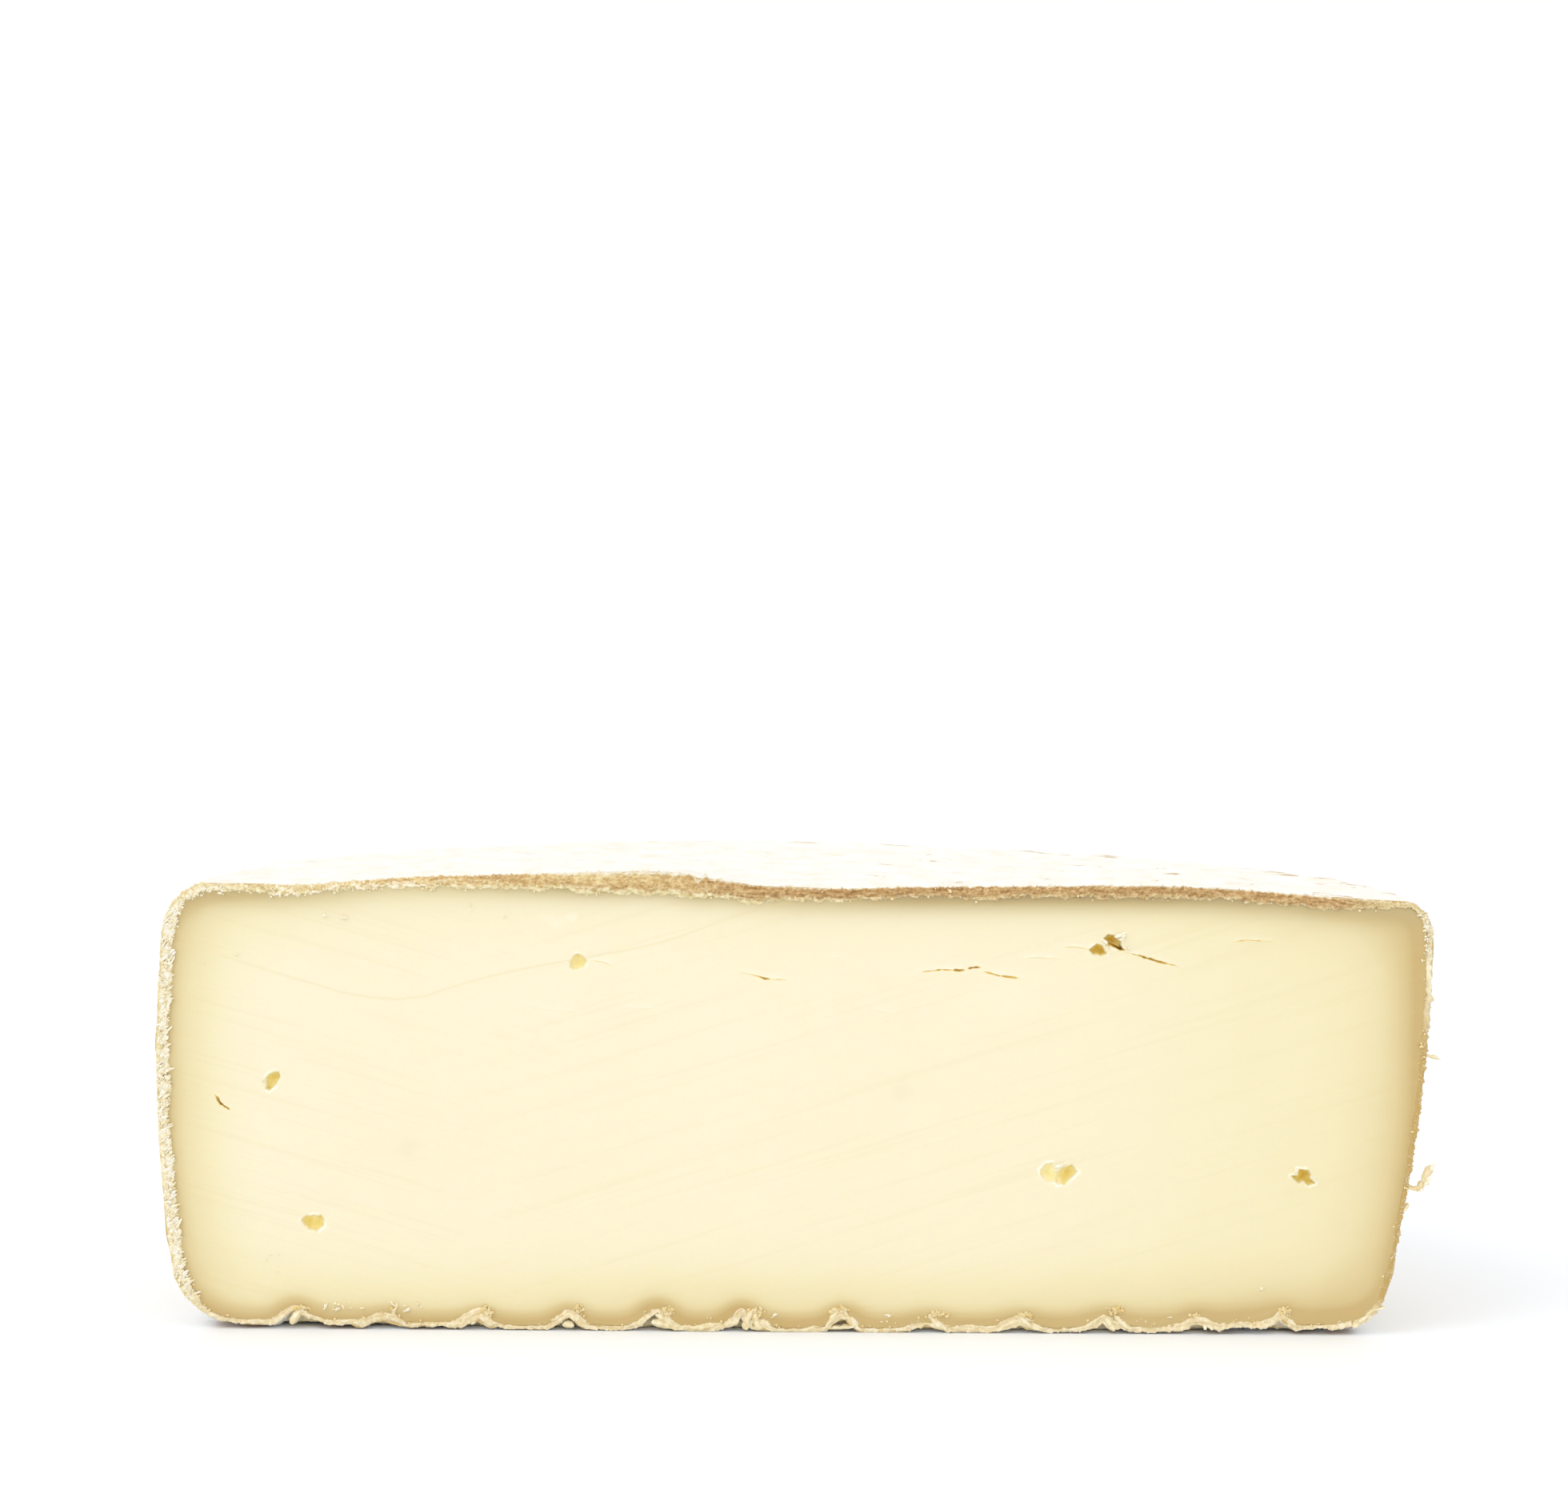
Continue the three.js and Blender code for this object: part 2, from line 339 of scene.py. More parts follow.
# The rind's body and the cheese inside it. Sizes are in mm.
rindBody = {
    "voxel": 1.15,
    "coreVoxel": 1.6,  # of the cheese inside
    "forward": 6,  # carried past the cut, then trimmed off
    "front": 0.15,  # its cut edge stands this far behind the cut, under the torn edge
    "thickness": 0.8,  # from the skin to the paste, under the torn edge
    "pebbles": 0.16,
    "swells": 0.25,
    "wallLumps": 0.22,
    "wrinkles": 0.16,
    "creaseGap": 14,
    "creaseDeep": 0.35,
    "creaseTurn": 47,  # degrees from the cut
    "lift": 0.8,  # of the cut's lower edge at both ends, where the wheel sags
    "liftReach": 2.4,  # how far behind the cut that goes on
    "bulge": 0.8,  # of the right foot
}


# The torn skin under the cut, from left to right: x and z of its lower edge, and its thickness.
tornBase = np.array([
    (-97.3, 0.3, 0.6), (-95.4, 0.2, 0.6), (-92.5, 0.0, 0.8), (-90.8, 0.0, 1.0), (-89.7, 0.2, 1.1),
    (-88.6, 0.8, 1.2), (-87.4, 1.8, 1.0), (-86.4, 2.8, 0.7), (-85.5, 2.3, 1.0), (-84.0, 1.4, 0.7),
    (-82.6, 1.0, 0.6), (-81.2, 0.5, 0.6), (-80.2, 0.2, 0.8), (-78.9, 0.2, 0.9), (-77.0, 0.5, 0.7),
    (-76.1, 0.7, 0.6), (-75.4, 0.1, 1.1), (-74.1, 0.1, 1.5), (-73.0, 0.7, 1.2), (-71.6, 1.1, 1.3),
    (-70.5, 1.3, 1.5), (-69.2, 1.1, 1.3), (-67.8, 0.5, 0.8), (-66.8, 0.1, 0.5), (-64.8, 0.2, 0.6),
    (-64.0, 0.4, 0.5), (-63.2, 0.1, 0.7), (-62.0, 0.2, 0.7), (-60.5, 0.5, 0.5), (-59.4, 0.1, 0.8),
    (-58.3, 0.1, 1.2), (-57.2, 0.4, 1.5), (-55.7, 0.9, 1.7), (-54.7, 1.4, 1.7), (-54.1, 1.7, 1.7),
    (-53.6, 1.1, 1.6), (-53.0, 0.4, 1.5), (-51.9, 0.3, 1.0), (-50.6, 0.3, 0.6), (-49.5, 0.0, 0.6),
    (-47.0, 0.0, 0.5), (-43.8, 0.0, 0.7), (-42.4, 0.1, 0.8), (-41.4, 0.4, 1.0), (-40.6, 0.9, 1.3),
    (-39.6, 1.6, 1.4), (-38.6, 2.3, 1.5), (-37.5, 1.5, 1.7), (-36.8, 0.7, 1.7), (-35.5, 0.2, 0.9),
    (-33.9, 0.1, 0.6), (-30.3, 0.1, 0.6), (-28.3, 0.2, 0.7), (-27.1, 0.4, 1.0), (-26.0, 0.9, 1.1),
    (-25.5, 1.5, 0.9), (-24.3, 2.6, 1.0), (-23.3, 3.3, 0.9), (-22.3, 2.3, 1.5), (-20.8, 0.9, 1.3),
    (-19.4, 0.2, 0.8), (-17.8, 0.0, 0.9), (-16.2, 0.0, 1.0), (-14.4, 0.0, 1.3), (-13.0, 0.2, 1.3),
    (-11.0, 0.7, 1.3), (-9.5, 1.3, 1.6), (-8.7, 3.1, 1.0), (-8.1, 1.0, 1.7), (-6.5, 0.4, 1.7),
    (-4.9, 0.6, 1.7), (-3.4, 0.1, 0.8), (-0.8, 0.0, 0.5), (2.0, 0.0, 0.9), (3.7, 0.0, 1.2),
    (5.1, 0.0, 1.2), (6.2, 0.2, 1.1), (7.2, 1.3, 1.1), (8.1, 2.1, 1.2), (9.0, 2.5, 1.3),
    (9.9, 1.9, 1.2), (10.8, 0.9, 1.1), (11.8, 0.1, 0.9), (13.6, 0.0, 0.7), (15.2, 0.0, 0.7),
    (16.5, 0.1, 0.7), (18.1, 0.1, 0.7), (19.8, 0.3, 0.9), (21.0, 0.6, 1.0), (22.2, 1.0, 1.3),
    (23.3, 1.3, 1.7), (24.8, 0.9, 1.6), (26.2, 0.5, 1.0), (27.1, 0.2, 1.3), (29.5, 0.1, 1.3),
    (33.7, 0.0, 1.3), (35.8, 0.1, 1.3), (37.0, 0.5, 1.5), (38.4, 1.0, 1.7), (39.5, 1.3, 1.7),
    (40.9, 0.9, 1.4), (42.5, 0.4, 0.9), (43.6, 0.1, 0.6), (46.5, 0.1, 0.5), (50.1, 0.2, 0.7),
    (51.3, 0.5, 0.9), (52.7, 0.9, 1.4), (53.9, 1.7, 1.7), (54.8, 0.9, 1.7), (56.1, 0.6, 1.7),
    (57.3, 0.7, 1.5), (58.6, 0.2, 0.9), (60.1, 0.1, 0.8), (62.7, 0.0, 0.8), (64.6, 0.2, 0.8),
    (66.2, 0.1, 1.2), (67.4, 0.1, 1.6), (68.7, 0.8, 1.4), (69.7, 1.3, 1.6), (71.1, 1.2, 1.3),
    (72.8, 0.6, 1.3), (74.1, 0.1, 1.2), (75.4, 0.5, 1.0), (77.6, 0.8, 1.0), (79.8, 0.8, 0.9),
    (81.8, 0.6, 1.2), (83.1, 0.9, 1.4), (84.0, 1.4, 1.3), (84.5, 1.8, 1.7), (85.6, 1.2, 1.4),
    (86.5, 0.7, 1.2), (87.3, 0.1, 1.2), (88.9, 0.2, 0.9), (90.7, 0.4, 0.8), (92.9, 0.5, 0.6),
    (93.7, 0.1, 0.9), (95.1, 0.3, 0.9), (97.0, 0.8, 1.0),
])


def settled(x, z):  # the wheel sags: at the cut its underside lifts at both ends, and its right foot bulges
    lift = rindBody["lift"] * np.clip(abs(x) / 95, 0, 1.05) ** 2 * smoothStep(16, 2, z)
    bulge = rindBody["bulge"] * bump(z, 11.5, 5) * smoothStep(90, 98, x)
    return x + bulge, z + lift


def trimFront(piece, y):
    editAll(piece)
    plane = {"plane_co": (0, y * mm, 0), "plane_no": (0, 1, 0)}
    bpy.ops.mesh.bisect(**plane, clear_inner=True, use_fill=True)
    bpy.ops.object.mode_set(mode="OBJECT")


def facing(piece):  # how far each vertex looks up, down, and out of its neighbourhood
    points = pointsOf(piece)
    outward = average(piece, normalsOf(piece), 8)
    outward /= np.linalg.norm(outward, axis=1, keepdims=True) + 1e-9
    crest = np.sum((points - average(piece, points, 40)) * outward, axis=1)
    up = smoothStep(0.45, 0.85, outward[:, 2])
    down = smoothStep(0.45, 0.85, -outward[:, 2])
    return outward, crest, up, down


def followTear(points, outline):  # near the cut the base takes the line of its torn edge
    plain = outline[(abs(outline[:, 0]) < 97) & (outline[:, 1] < 5)]
    plain = plain[np.argsort(plain[:, 0])]
    x, y, z = points.T
    rise = np.interp(x, tornBase[:, 0], tornBase[:, 1]) - np.interp(x, plain[:, 0], plain[:, 1])
    near = smoothStep(14, 2, y - cutPlane)
    torn = z + rise * near * smoothStep(18, 5, z) * smoothStep(98, 95, abs(x))
    newX, newZ = settled(x, torn)
    close = smoothStep(rindBody["liftReach"], 0.5, y - cutPlane)
    return np.column_stack([x + (newX - x) * near, y, torn + (newZ - torn) * close])


def evenBody(name, voxel, rounds):  # the plain wheel in even small faces, softened
    body, outline = plainWheel(name, rindBody["forward"])
    finishWith(body, "REMESH", mode="VOXEL", voxel_size=voxel * mm)
    finishWith(body, "SMOOTH", factor=0.5, iterations=rounds)
    movePoints(body, followTear(pointsOf(body), outline))
    return body, outline


def makeRind():
    body, outline = evenBody("rind", rindBody["voxel"], 3)
    outward, _, up, down = facing(body)
    points = pointsOf(body)
    flat = up + down
    arc = np.arctan2(points[:, 1] - cutPlane, points[:, 0]) * wheelRadius
    around = np.column_stack([arc / 3, points[:, 2]])
    relief = rindBody["pebbles"] * (lumps(points, 3.2, 1) + 0.6 * lumps(points, 1.6, 2))
    relief += rindBody["swells"] * lumps(points, 17, 3)
    relief += (1 - flat) * rindBody["wallLumps"] * (lumps(around, 5, 4) + 0.5 * lumps(around, 2.2, 5))
    slanted = twoWays(points[:, :2], math.radians(rindBody["creaseTurn"]))[1] + 2.5 * lumps(points, 30, 6)
    crease = bump((slanted / rindBody["creaseGap"]) % 1, 0.5, 0.07)
    crease *= smoothStep(-0.2, 0.5, lumps(points, 22, 7))
    relief -= rindBody["creaseDeep"] * crease * down
    wrinkle = 1 - abs(lumps(points, 5.5, 8))
    relief += rindBody["wrinkles"] * (wrinkle**6 - 0.3) * (0.4 + 0.6 * flat)
    points += outward * relief[:, None]
    points[:, 2] = np.maximum(points[:, 2], 0.02)
    movePoints(body, points)
    trimFront(body, cutPlane + rindBody["front"])
    return body, outline


def makeCore():
    core = evenBody("core", rindBody["coreVoxel"], 2)[0]
    movePoints(core, pointsOf(core) - normalsOf(core) * rindBody["thickness"])
    return core


rind, outline = makeRind()
core = makeCore()
finishWith(rind, "BOOLEAN", object=core, operation="DIFFERENCE", solver="MANIFOLD")
print("rind:", len(rind.data.polygons), "faces")


# The torn edge of the rind, all round the cut.
tornEdge = {
    "topStep": 0.14, "topRows": 30,  # mm along the outline, and rows across the cut
    "wallStep": 0.19, "wallRows": 22,
    "left": 1.85, "right": 0.95,  # widths in mm
    "overlap": 1.3,  # goes on under the paste's surface
    "proud": 0.22,
    "fibre": (1.1, 0.24),  # mm, along the rind and across it
}
mapUnit = 100  # mm of rind for one unit of its map

# Width of the torn edge along the top: x, width.
tornWidth = np.array([
    (-104, 1.4), (-100, 1.1), (-96, 0.9), (-93, 1.0), (-90, 1.4), (-86, 1.3), (-80, 1.2), (-70, 1.5),
    (-60, 1.9), (-50, 2.2), (-42, 2.6), (-34, 3.5), (-25, 3.8), (-18, 3.6), (-14, 2.9), (-8, 2.6),
    (0, 2.2), (8, 2.0), (20, 1.7), (30, 1.8), (36, 2.0), (45, 1.8), (58, 2.0), (65, 1.9), (78, 1.7),
    (85, 1.7), (90, 1.9), (94, 1.6), (97, 1.9), (99.5, 1.1), (102, 1.1), (104, 0.7), (106, 0.8),
])


def unit(vectors):
    return vectors / np.linalg.norm(vectors, axis=1, keepdims=True)


def edgeOfCut(step):  # the outline of the cut, with what each place along it is like
    line = outline[(abs(outline[:, 0]) > 97.2) | (outline[:, 1] > 6)]
    line = evenSteps(np.column_stack(settled(*np.vstack([line, tornBase[:, :2]]).T)), step)
    tangent = np.roll(line, -1, axis=0) - np.roll(line, 1, axis=0)
    inward = np.column_stack([-tangent[:, 1], tangent[:, 0]])
    broad = unit(roundAverage(inward, round(3 / step)))
    run = np.arange(len(line)) * step
    x, z = line.T
    top = smoothStep(0.3, 0.85, -broad[:, 1]) * (z > 40)
    left = smoothStep(-90, -97, x) * (1 - top) * smoothStep(1.5, 7, z)
    right = smoothStep(93, 99, x) * (1 - top) * smoothStep(1.5, 7, z)
    bottom = np.clip(1 - top - left - right, 0, 1)
    crest = bottom * smoothStep(1.0, 2.6, z) * (abs(x) < 94)
    notch = top * (-0.7 * bump(x, -15.3, 0.45) - 0.4 * bump(x, -12.6, 0.6) - 0.3 * bump(x, -19.6, 1.2))
    bloom = 0.6 * bump(x, -16.8, 0.6) + 0.4 * bump(x, -13.9, 0.5)  # where the white skin comes down
    bloom = top * (bloom + 0.42 * smoothStep(-45, -38, x) * smoothStep(-18, -22, x))
    width = top * np.interp(x, tornWidth[:, 0], tornWidth[:, 1])
    width += left * tornEdge["left"]
    width += right * tornEdge["right"]
    width += bottom * np.interp(x, tornBase[:, 0], tornBase[:, 2])
    coarse = np.column_stack([run, run * 0])
    width *= 1 + 0.16 * lumps(coarse, 5, 41) + 0.10 * lumps(coarse, 1.4, 42)
    nick = top * bump(x, -17, 2.6)  # there the fibres run straight on under the nick
    inward = unit(unit(roundAverage(inward, round(0.9 / step))) * (1 - nick[:, None]) + broad * nick[:, None])
    dip = nick * np.sum((line - roundAverage(line, round(3 / step))) * broad, axis=1)
    return {"line": line, "inward": inward, "run": run, "width": width - dip, "dip": dip, "bloom": bloom,
            "top": top, "left": left, "right": right, "bottom": bottom, "crest": crest, "notch": notch}


# The cut paste. Sizes are in mm.
pasteSize = {
    "cell": 1.0,  # halved three times round the eyes and splits, and once more along the splits
    "spare": 6,  # the sheet is this much larger than the cut, then trimmed to it
    "wallRun": 0.34,  # how quickly an eye falls away
    "lip": 0.11,
    "splitDeep": 0.07,
    "waviness": 0.12,
    "ripples": 0.03,
    "strokeStep": 0.018,  # where two strokes of the knife met
    "strokeLines": 0.025,
    "strokeTurn": (-16, 17),  # degrees, at the left and at the right
    "strokeMeet": (-75, -20),  # from x to x they turn from one to the other
}

# Eyes: centre x and z, depth, then the corners of the opening seen from the front.
eyes = [
    (-37.2, 64.2, 1.0, [(-0.1, 1.4), (0.9, 0.9), (1.4, 0.2), (0.9, -0.7), (-0.7, -1.25), (-1.35, -0.9),
                        (-1.25, 0.1), (-0.65, 1.1)]),
    (-90.0, 43.4, 1.3, [(1.07, 1.48), (1.26, 0.64), (0.7, -0.67), (-0.6, -1.7), (-1.07, -1.4), (-0.95, -0.3),
                        (-1.1, 0.3), (-0.6, 1.0), (0.36, 1.36)]),
    (-83.0, 18.6, 1.2, [(-2.0, 0.32), (-1.3, 1.08), (0.2, 1.25), (0.75, 1.08), (1.3, 1.3), (1.9, 0.54),
                        (1.72, -0.54), (0.54, -1.4), (-0.43, -1.2), (-1.6, -0.32)]),
    (46.0, 28.0, 0.7, [(-3.1, 0.7), (-2.1, 1.7), (-1.0, 1.8), (-0.85, 0.4), (0.56, 0.0), (-0.3, -1.4),
                       (-2.0, -1.3), (-3.1, -0.15)]),
    (46.0, 28.0, 1.2, [(-0.3, 0.0), (1.0, 1.1), (2.25, 1.4), (3.15, 0.3), (2.0, -0.85), (1.1, -1.9),
                       (-0.15, -1.8), (-0.6, -0.85)]),
    (88.3, 27.7, 1.9, [(-0.86, 1.23), (0.9, 1.07), (1.25, 0.35), (1.0, -0.2), (1.9, -1.1), (0.9, -1.4),
                       (0.06, -0.8), (-0.86, -1.0), (-2.0, 0.1), (-0.86, 0.04), (-0.66, 0.66)]),
    (52.5, 67.0, 1.8, [(-1.6, -0.1), (-0.4, 0.8), (0.5, 0.7), (1.3, -0.7), (0.4, -0.95), (-0.9, -0.8)]),
    (54.9, 68.1, 1.9, [(-1.4, 0.6), (-0.8, 1.25), (0.15, 1.25), (1.3, 0.1), (1.6, -1.1), (0.1, -0.6),
                       (-0.9, -0.3)]),
]

# Splits: how far each gapes in millimetres, then the points that it runs through.
splits = [
    (0.20, [(-34.9, 64.5), (-33.0, 64.3), (-31.1, 63.5)]),
    (0.66, [(-100.0, 40.9), (-99.1, 39.6), (-98.4, 38.9), (-97.2, 38.2)]),
    (0.26, [(-9.8, 62.6), (-7.8, 62.4), (-6.3, 62.0), (-5.0, 61.6), (-3.6, 61.45), (-1.8, 61.4),
            (-0.4, 61.15)]),
    (0.44, [(-6.3, 62.0), (-5.0, 61.6), (-3.6, 61.45)]),
    (0.62, [(-99.4, 39.7), (-98.9, 39.2), (-98.3, 38.9)]),
    (0.50, [(-98.0, 38.7), (-97.3, 38.2)]),
    (0.36, [(21.3, 62.8), (25.5, 63.3), (30.3, 63.2)]),
    (0.46, [(26.6, 63.3), (28.4, 63.2), (29.7, 63.3)]),
    (0.54, [(29.8, 63.5), (30.9, 63.7), (32.4, 63.75)]),
    (0.38, [(32.5, 63.1), (35.5, 62.3), (39.9, 61.8)]),
    (0.18, [(39.5, 65.4), (42.0, 65.5), (45.8, 65.3)]),
    (0.26, [(46.3, 67.4), (49.0, 67.3), (51.8, 66.8)]),
    (0.48, [(57.3, 66.5), (59.3, 66.0), (62.6, 65.0), (66.4, 64.1)]),
    (0.62, [(54.0, 68.1), (56.0, 67.2), (57.4, 66.8)]),
    (0.26, [(75.4, 68.4), (78.0, 68.75), (83.1, 68.5)]),
    (0.07, [(-47.6, 57.0), (-42.7, 56.0), (-37.6, 55.6)]),
    (0.07, [(-30.9, 56.6), (-27.6, 56.2), (-24.2, 56.3), (-20.9, 55.7)]),
    (0.06, [(5.2, 65.3), (7.9, 65.3)]),
    (0.06, [(12.1, 56.6), (17.6, 55.5)]),
]

# Where two strokes of the knife met: a low step that runs up across the face.
strokeLine = rounded([(-109, 68.3), (-92.7, 63.1), (-69.3, 56.2), (-54, 61.5), (-40.3, 64.3), (-23.8, 67.2),
                      (-12.8, 71.4), (-4.5, 74.2), (6, 76)])
paleScratch = [(-43.5, 71.7), (-41, 71.2), (-38, 71.9)]  # a short pale line, not raised, painted in the lips' near-white highlight tone
dullSpots = [(-66.5, 32.0), (18.8, 42.2)]  # faint, 3 mm across


# How the rind has ripened the paste, with painted shade laid over it. From each side: strength, reach
# in mm, and the share of it that reaches further.
ripening = {
    "sides": ("top", "left", "right", "bottom"),
    "top": (0.35, 2.5, 0.35), "left": (0.28, 2.6, 2.0), "right": (0.54, 2.2, 0.7), "bottom": (1.0, 2.6, 0.33),
    "alongBase": (0.76, 1.36),  # the base's share at the left end and at the right
    "upRight": (0.3, 1.2),  # how much stronger and wider it gets up the right side
    "ends": 1.6,  # how much more at the two ends of the top
    "crests": 0.3,  # and over the grooves
    "wide": 9.0,  # mm, the further reach
    "toRight": 0.22,  # painted shade: how much the whole cut darkens towards its right end, where the light falls off
    "shade": 3.5,  # mm, the reach of the painted shade band below the top rind
}

# The painted shade in the paste under the top rind, laid over its ripened tone there: x, strength.
underRindShade = np.array([
    (-104, 1.0), (-90, 0.9), (-70, 0.55), (-55, 0.85), (-43, 1.5), (-34, 2.6), (-22, 2.8), (-15, 1.8),
    (-5, 1.25), (8, 1.35), (20, 1.75), (45, 1.8), (60, 1.9), (78, 1.7), (92, 1.4), (105, 1.1),
])


def insideGap(points, corners):  # distance to a closed outline, negative inside it
    gap = gapToLine(points, corners, closed=True)[0]
    inside = np.zeros(len(points), bool)
    for (x0, z0), (x1, z1) in zip(corners, corners[1:] + corners[:1]):
        crosses = (z0 > points[:, 1]) != (z1 > points[:, 1])
        with np.errstate(divide="ignore", invalid="ignore"):
            meets = (x1 - x0) * (points[:, 1] - z0) / (z1 - z0) + x0
        inside ^= crosses & (points[:, 0] < meets)
    return np.where(inside, -gap, gap)


def featureGap(points):  # how far each point is from the nearest eye or split
    nearest = np.full(len(points), 1e9)
    for x, z, _, corners in eyes:
        nearest = np.minimum(nearest, np.maximum(insideGap(points - (x, z), corners), 0))
    for _, line in splits:
        nearest = np.minimum(nearest, gapToLine(points, line)[0])
    return np.minimum(nearest, gapToLine(points, strokeLine)[0] + 0.4)


def splitGap(points):
    return np.min([gapToLine(points, line)[0] for _, line in splits], axis=0)


def cutRelief(points):  # how deep each point lies, and how much it is a hollow, a lip with its painted highlight, or a split with its painted shade
    sunk = np.zeros(len(points))
    hollow, paintedLipHighlight, slitAndShade = np.zeros((3, len(points)))
    jag = 0.10 * lumps(points, 0.55, 21) + 0.06 * lumps(points, 0.25, 22)
    for x, z, deep, corners in eyes:
        gap = insideGap(points - (x, z), corners) + jag - 0.15
        wall = smoothStep(0.06, -pasteSize["wallRun"], gap)
        bottom = deep * wall * (0.75 + 0.25 * smoothStep(-0.3, -1.1, gap))
        bottom *= 1 + 0.18 * lumps(points, 0.9, 23)
        sunk = np.maximum(sunk, bottom)
        hollow = np.maximum(hollow, wall)
        slanted = twoWays(points - (x, z), math.radians(120))[0] / 1.6  # painted highlight: the lips stand up and are painted near-white to the upper left and lower right, where the light catches them
        litLipSides = smoothStep(-0.35, 0.5, lumps(points, 1.3, 24)) * smoothStep(0.3, 1.0, abs(slanted))
        lip = bump(gap, 0.22, 0.16) * litLipSides * (sunk < 0.2)
        sunk -= pasteSize["lip"] * lip
        paintedLipHighlight = np.maximum(paintedLipHighlight, lip)
    for gape, line in splits:
        gap, along, side = gapToLine(points, line)
        gap = abs(gap + 0.25 * gape * lumps(points, 0.6, 25))
        taper = np.sqrt(np.clip(4 * along * (1 - along), 0.04, 1))
        half = np.maximum(gape / 2 * taper, 0.05)
        slot = smoothStep(1.2, 0.3, gap / half) * taper
        sunk = np.maximum(sunk, pasteSize["splitDeep"] * slot * min(1, gape / 0.4))
        # painted shade: the split's brown deepens where it gapes, in place of the shade in a deep crack
        slitAndShade = np.maximum(slitAndShade, slot * min(1, gape / 0.55))
        strength = min(1, gape / 0.15)
        lip = strength * np.exp(-gap / 0.38) * (side > 0) * taper
        lip *= (1 + 0.6 * lumps(points, 0.9, 26)) * (slot < 0.2)
        sunk -= 0.08 * lip
        paintedLipHighlight = np.maximum(paintedLipHighlight, 0.5 * lip)
    paintedLipHighlight = np.maximum(paintedLipHighlight, 0.3 * bump(gapToLine(points, paleScratch)[0], 0, 0.45))
    return sunk, hollow, paintedLipHighlight, slitAndShade


def makePaste():
    spare = pasteSize["spare"]
    width, height = 2 * wheelRadius + spare, wheelHeight + spare
    bpy.ops.object.select_all(action="DESELECT")
    bpy.ops.mesh.primitive_grid_add(
        x_subdivisions=round(width / pasteSize["cell"]), y_subdivisions=round(height / pasteSize["cell"]),
        size=1, location=(0, cutPlane * mm, wheelHeight / 2 * mm), rotation=(math.pi / 2, 0, 0))
    face = nameIt(bpy.context.object, "paste")
    face.scale = (width * mm, height * mm, 1)
    bpy.ops.object.transform_apply(location=True, rotation=True, scale=True)
    for gapOf, reach in ((featureGap, 2.6), (featureGap, 1.3), (featureGap, 0.6), (splitGap, 0.35)):
        close = gapOf(faceCentres(face)[:, (0, 2)]) < reach
        editFaces(face, close)
        bpy.ops.mesh.subdivide(number_cuts=1)
        bpy.ops.object.mode_set(mode="OBJECT")
    points = pointsOf(face)
    flat = points[:, (0, 2)]
    sunk = cutRelief(flat)[0]
    gap, _, side = gapToLine(flat, strokeLine)
    sunk += pasteSize["strokeStep"] * side * np.exp(-gap / 2.5)
    sunk += pasteSize["waviness"] * lumps(flat, 38, 31) + pasteSize["ripples"] * lumps(flat, 9, 32)
    slope = np.radians(np.interp(flat[:, 0], pasteSize["strokeMeet"], pasteSize["strokeTurn"]))
    along = flat[:, 0] * np.cos(slope) + flat[:, 1] * np.sin(slope)
    across = flat[:, 1] * np.cos(slope) - flat[:, 0] * np.sin(slope)
    sunk += pasteSize["strokeLines"] * lumps(np.column_stack([along / 45, across / 2.8]), 1, 33)
    points[:, 1] += sunk
    movePoints(face, points)
    closeRim(face, -(wheelRadius + 2 * spare))
    return face


paste = makePaste()
finishWith(paste, "BOOLEAN", object=core, operation="INTERSECT", solver="MANIFOLD")
bpy.data.objects.remove(core)


def markPaste():  # ripeness towards the rind with painted shade over it, and how hollow each place is
    points = pointsOf(paste)
    flat = points[:, (0, 2)]
    rim = edgeOfCut(1.0)
    # painted shade: the whole cut darkens towards its right end, where the light falls off
    ripe = ripening["toRight"] * smoothStep(0, 105, flat[:, 0]) ** 2
    shaded = np.zeros(len(points))
    rootPi = 1.77  # evens out the share of each place along the rim, 1 mm apart
    for k, place in enumerate(rim["line"]):
        away = np.sum((flat - place) ** 2, axis=1)
        side = np.sum([rim[side][k] * np.array(ripening[side]) for side in ripening["sides"]], axis=0)
        strong, reach, wideShare = side
        strong *= 1 + ripening["ends"] * rim["top"][k] * smoothStep(75, 104, abs(place[0]))
        strong *= 1 + ripening["crests"] * rim["crest"][k]
        strong *= 1 + rim["bottom"][k] * (np.interp(place[0], (-95, 95), ripening["alongBase"]) - 1)
        up = rim["right"][k] * smoothStep(32, 66, place[1])
        strong *= 1 + ripening["upRight"][0] * up
        reach += ripening["upRight"][1] * up
        ripe += strong * np.exp(-away / reach**2) / (rootPi * reach)
        ripe += wideShare * strong * np.exp(-away / ripening["wide"] ** 2) / (rootPi * ripening["wide"])
        # painted shade below the top rind, over the paste's ripened tone there
        rimShade = rim["top"][k] * np.interp(place[0], underRindShade[:, 0], underRindShade[:, 1])
        shaded += rimShade * np.exp(-away / ripening["shade"] ** 2) / (rootPi * ripening["shade"])
    for place in dullSpots:
        shaded += 0.10 * np.exp(-np.sum((flat - place) ** 2, axis=1) / 1.6**2)
    inFront = smoothStep(6, 3, points[:, 1] - cutPlane)
    storeOnPoints(paste, "ripeness", ripe)
    storeOnPoints(paste, "shaded", shaded)
    _, hollow, paintedLipHighlight, slitAndShade = cutRelief(flat)
    storeOnPoints(paste, "hollow", hollow * inFront)
    storeOnPoints(paste, "slitAndShade", slitAndShade * inFront)
    storeOnPoints(paste, "lip", np.clip(paintedLipHighlight, 0, 1) * inFront)
    gap, along, _ = gapToLine(flat, strokeLine)
    stroke = bump(gap, 0, 0.17) * smoothStep(0, 0.25, along) * smoothStep(1, 0.9, along)
    storeOnPoints(paste, "stroke", stroke * inFront)
    storeOnPoints(paste, "depth", np.clip(points[:, 1] - cutPlane, 0, 3) / 3 * inFront)


markPaste()
smoothShade(paste, 60)
smoothShade(rind, 60)
print("paste:", len(paste.data.polygons), "faces")


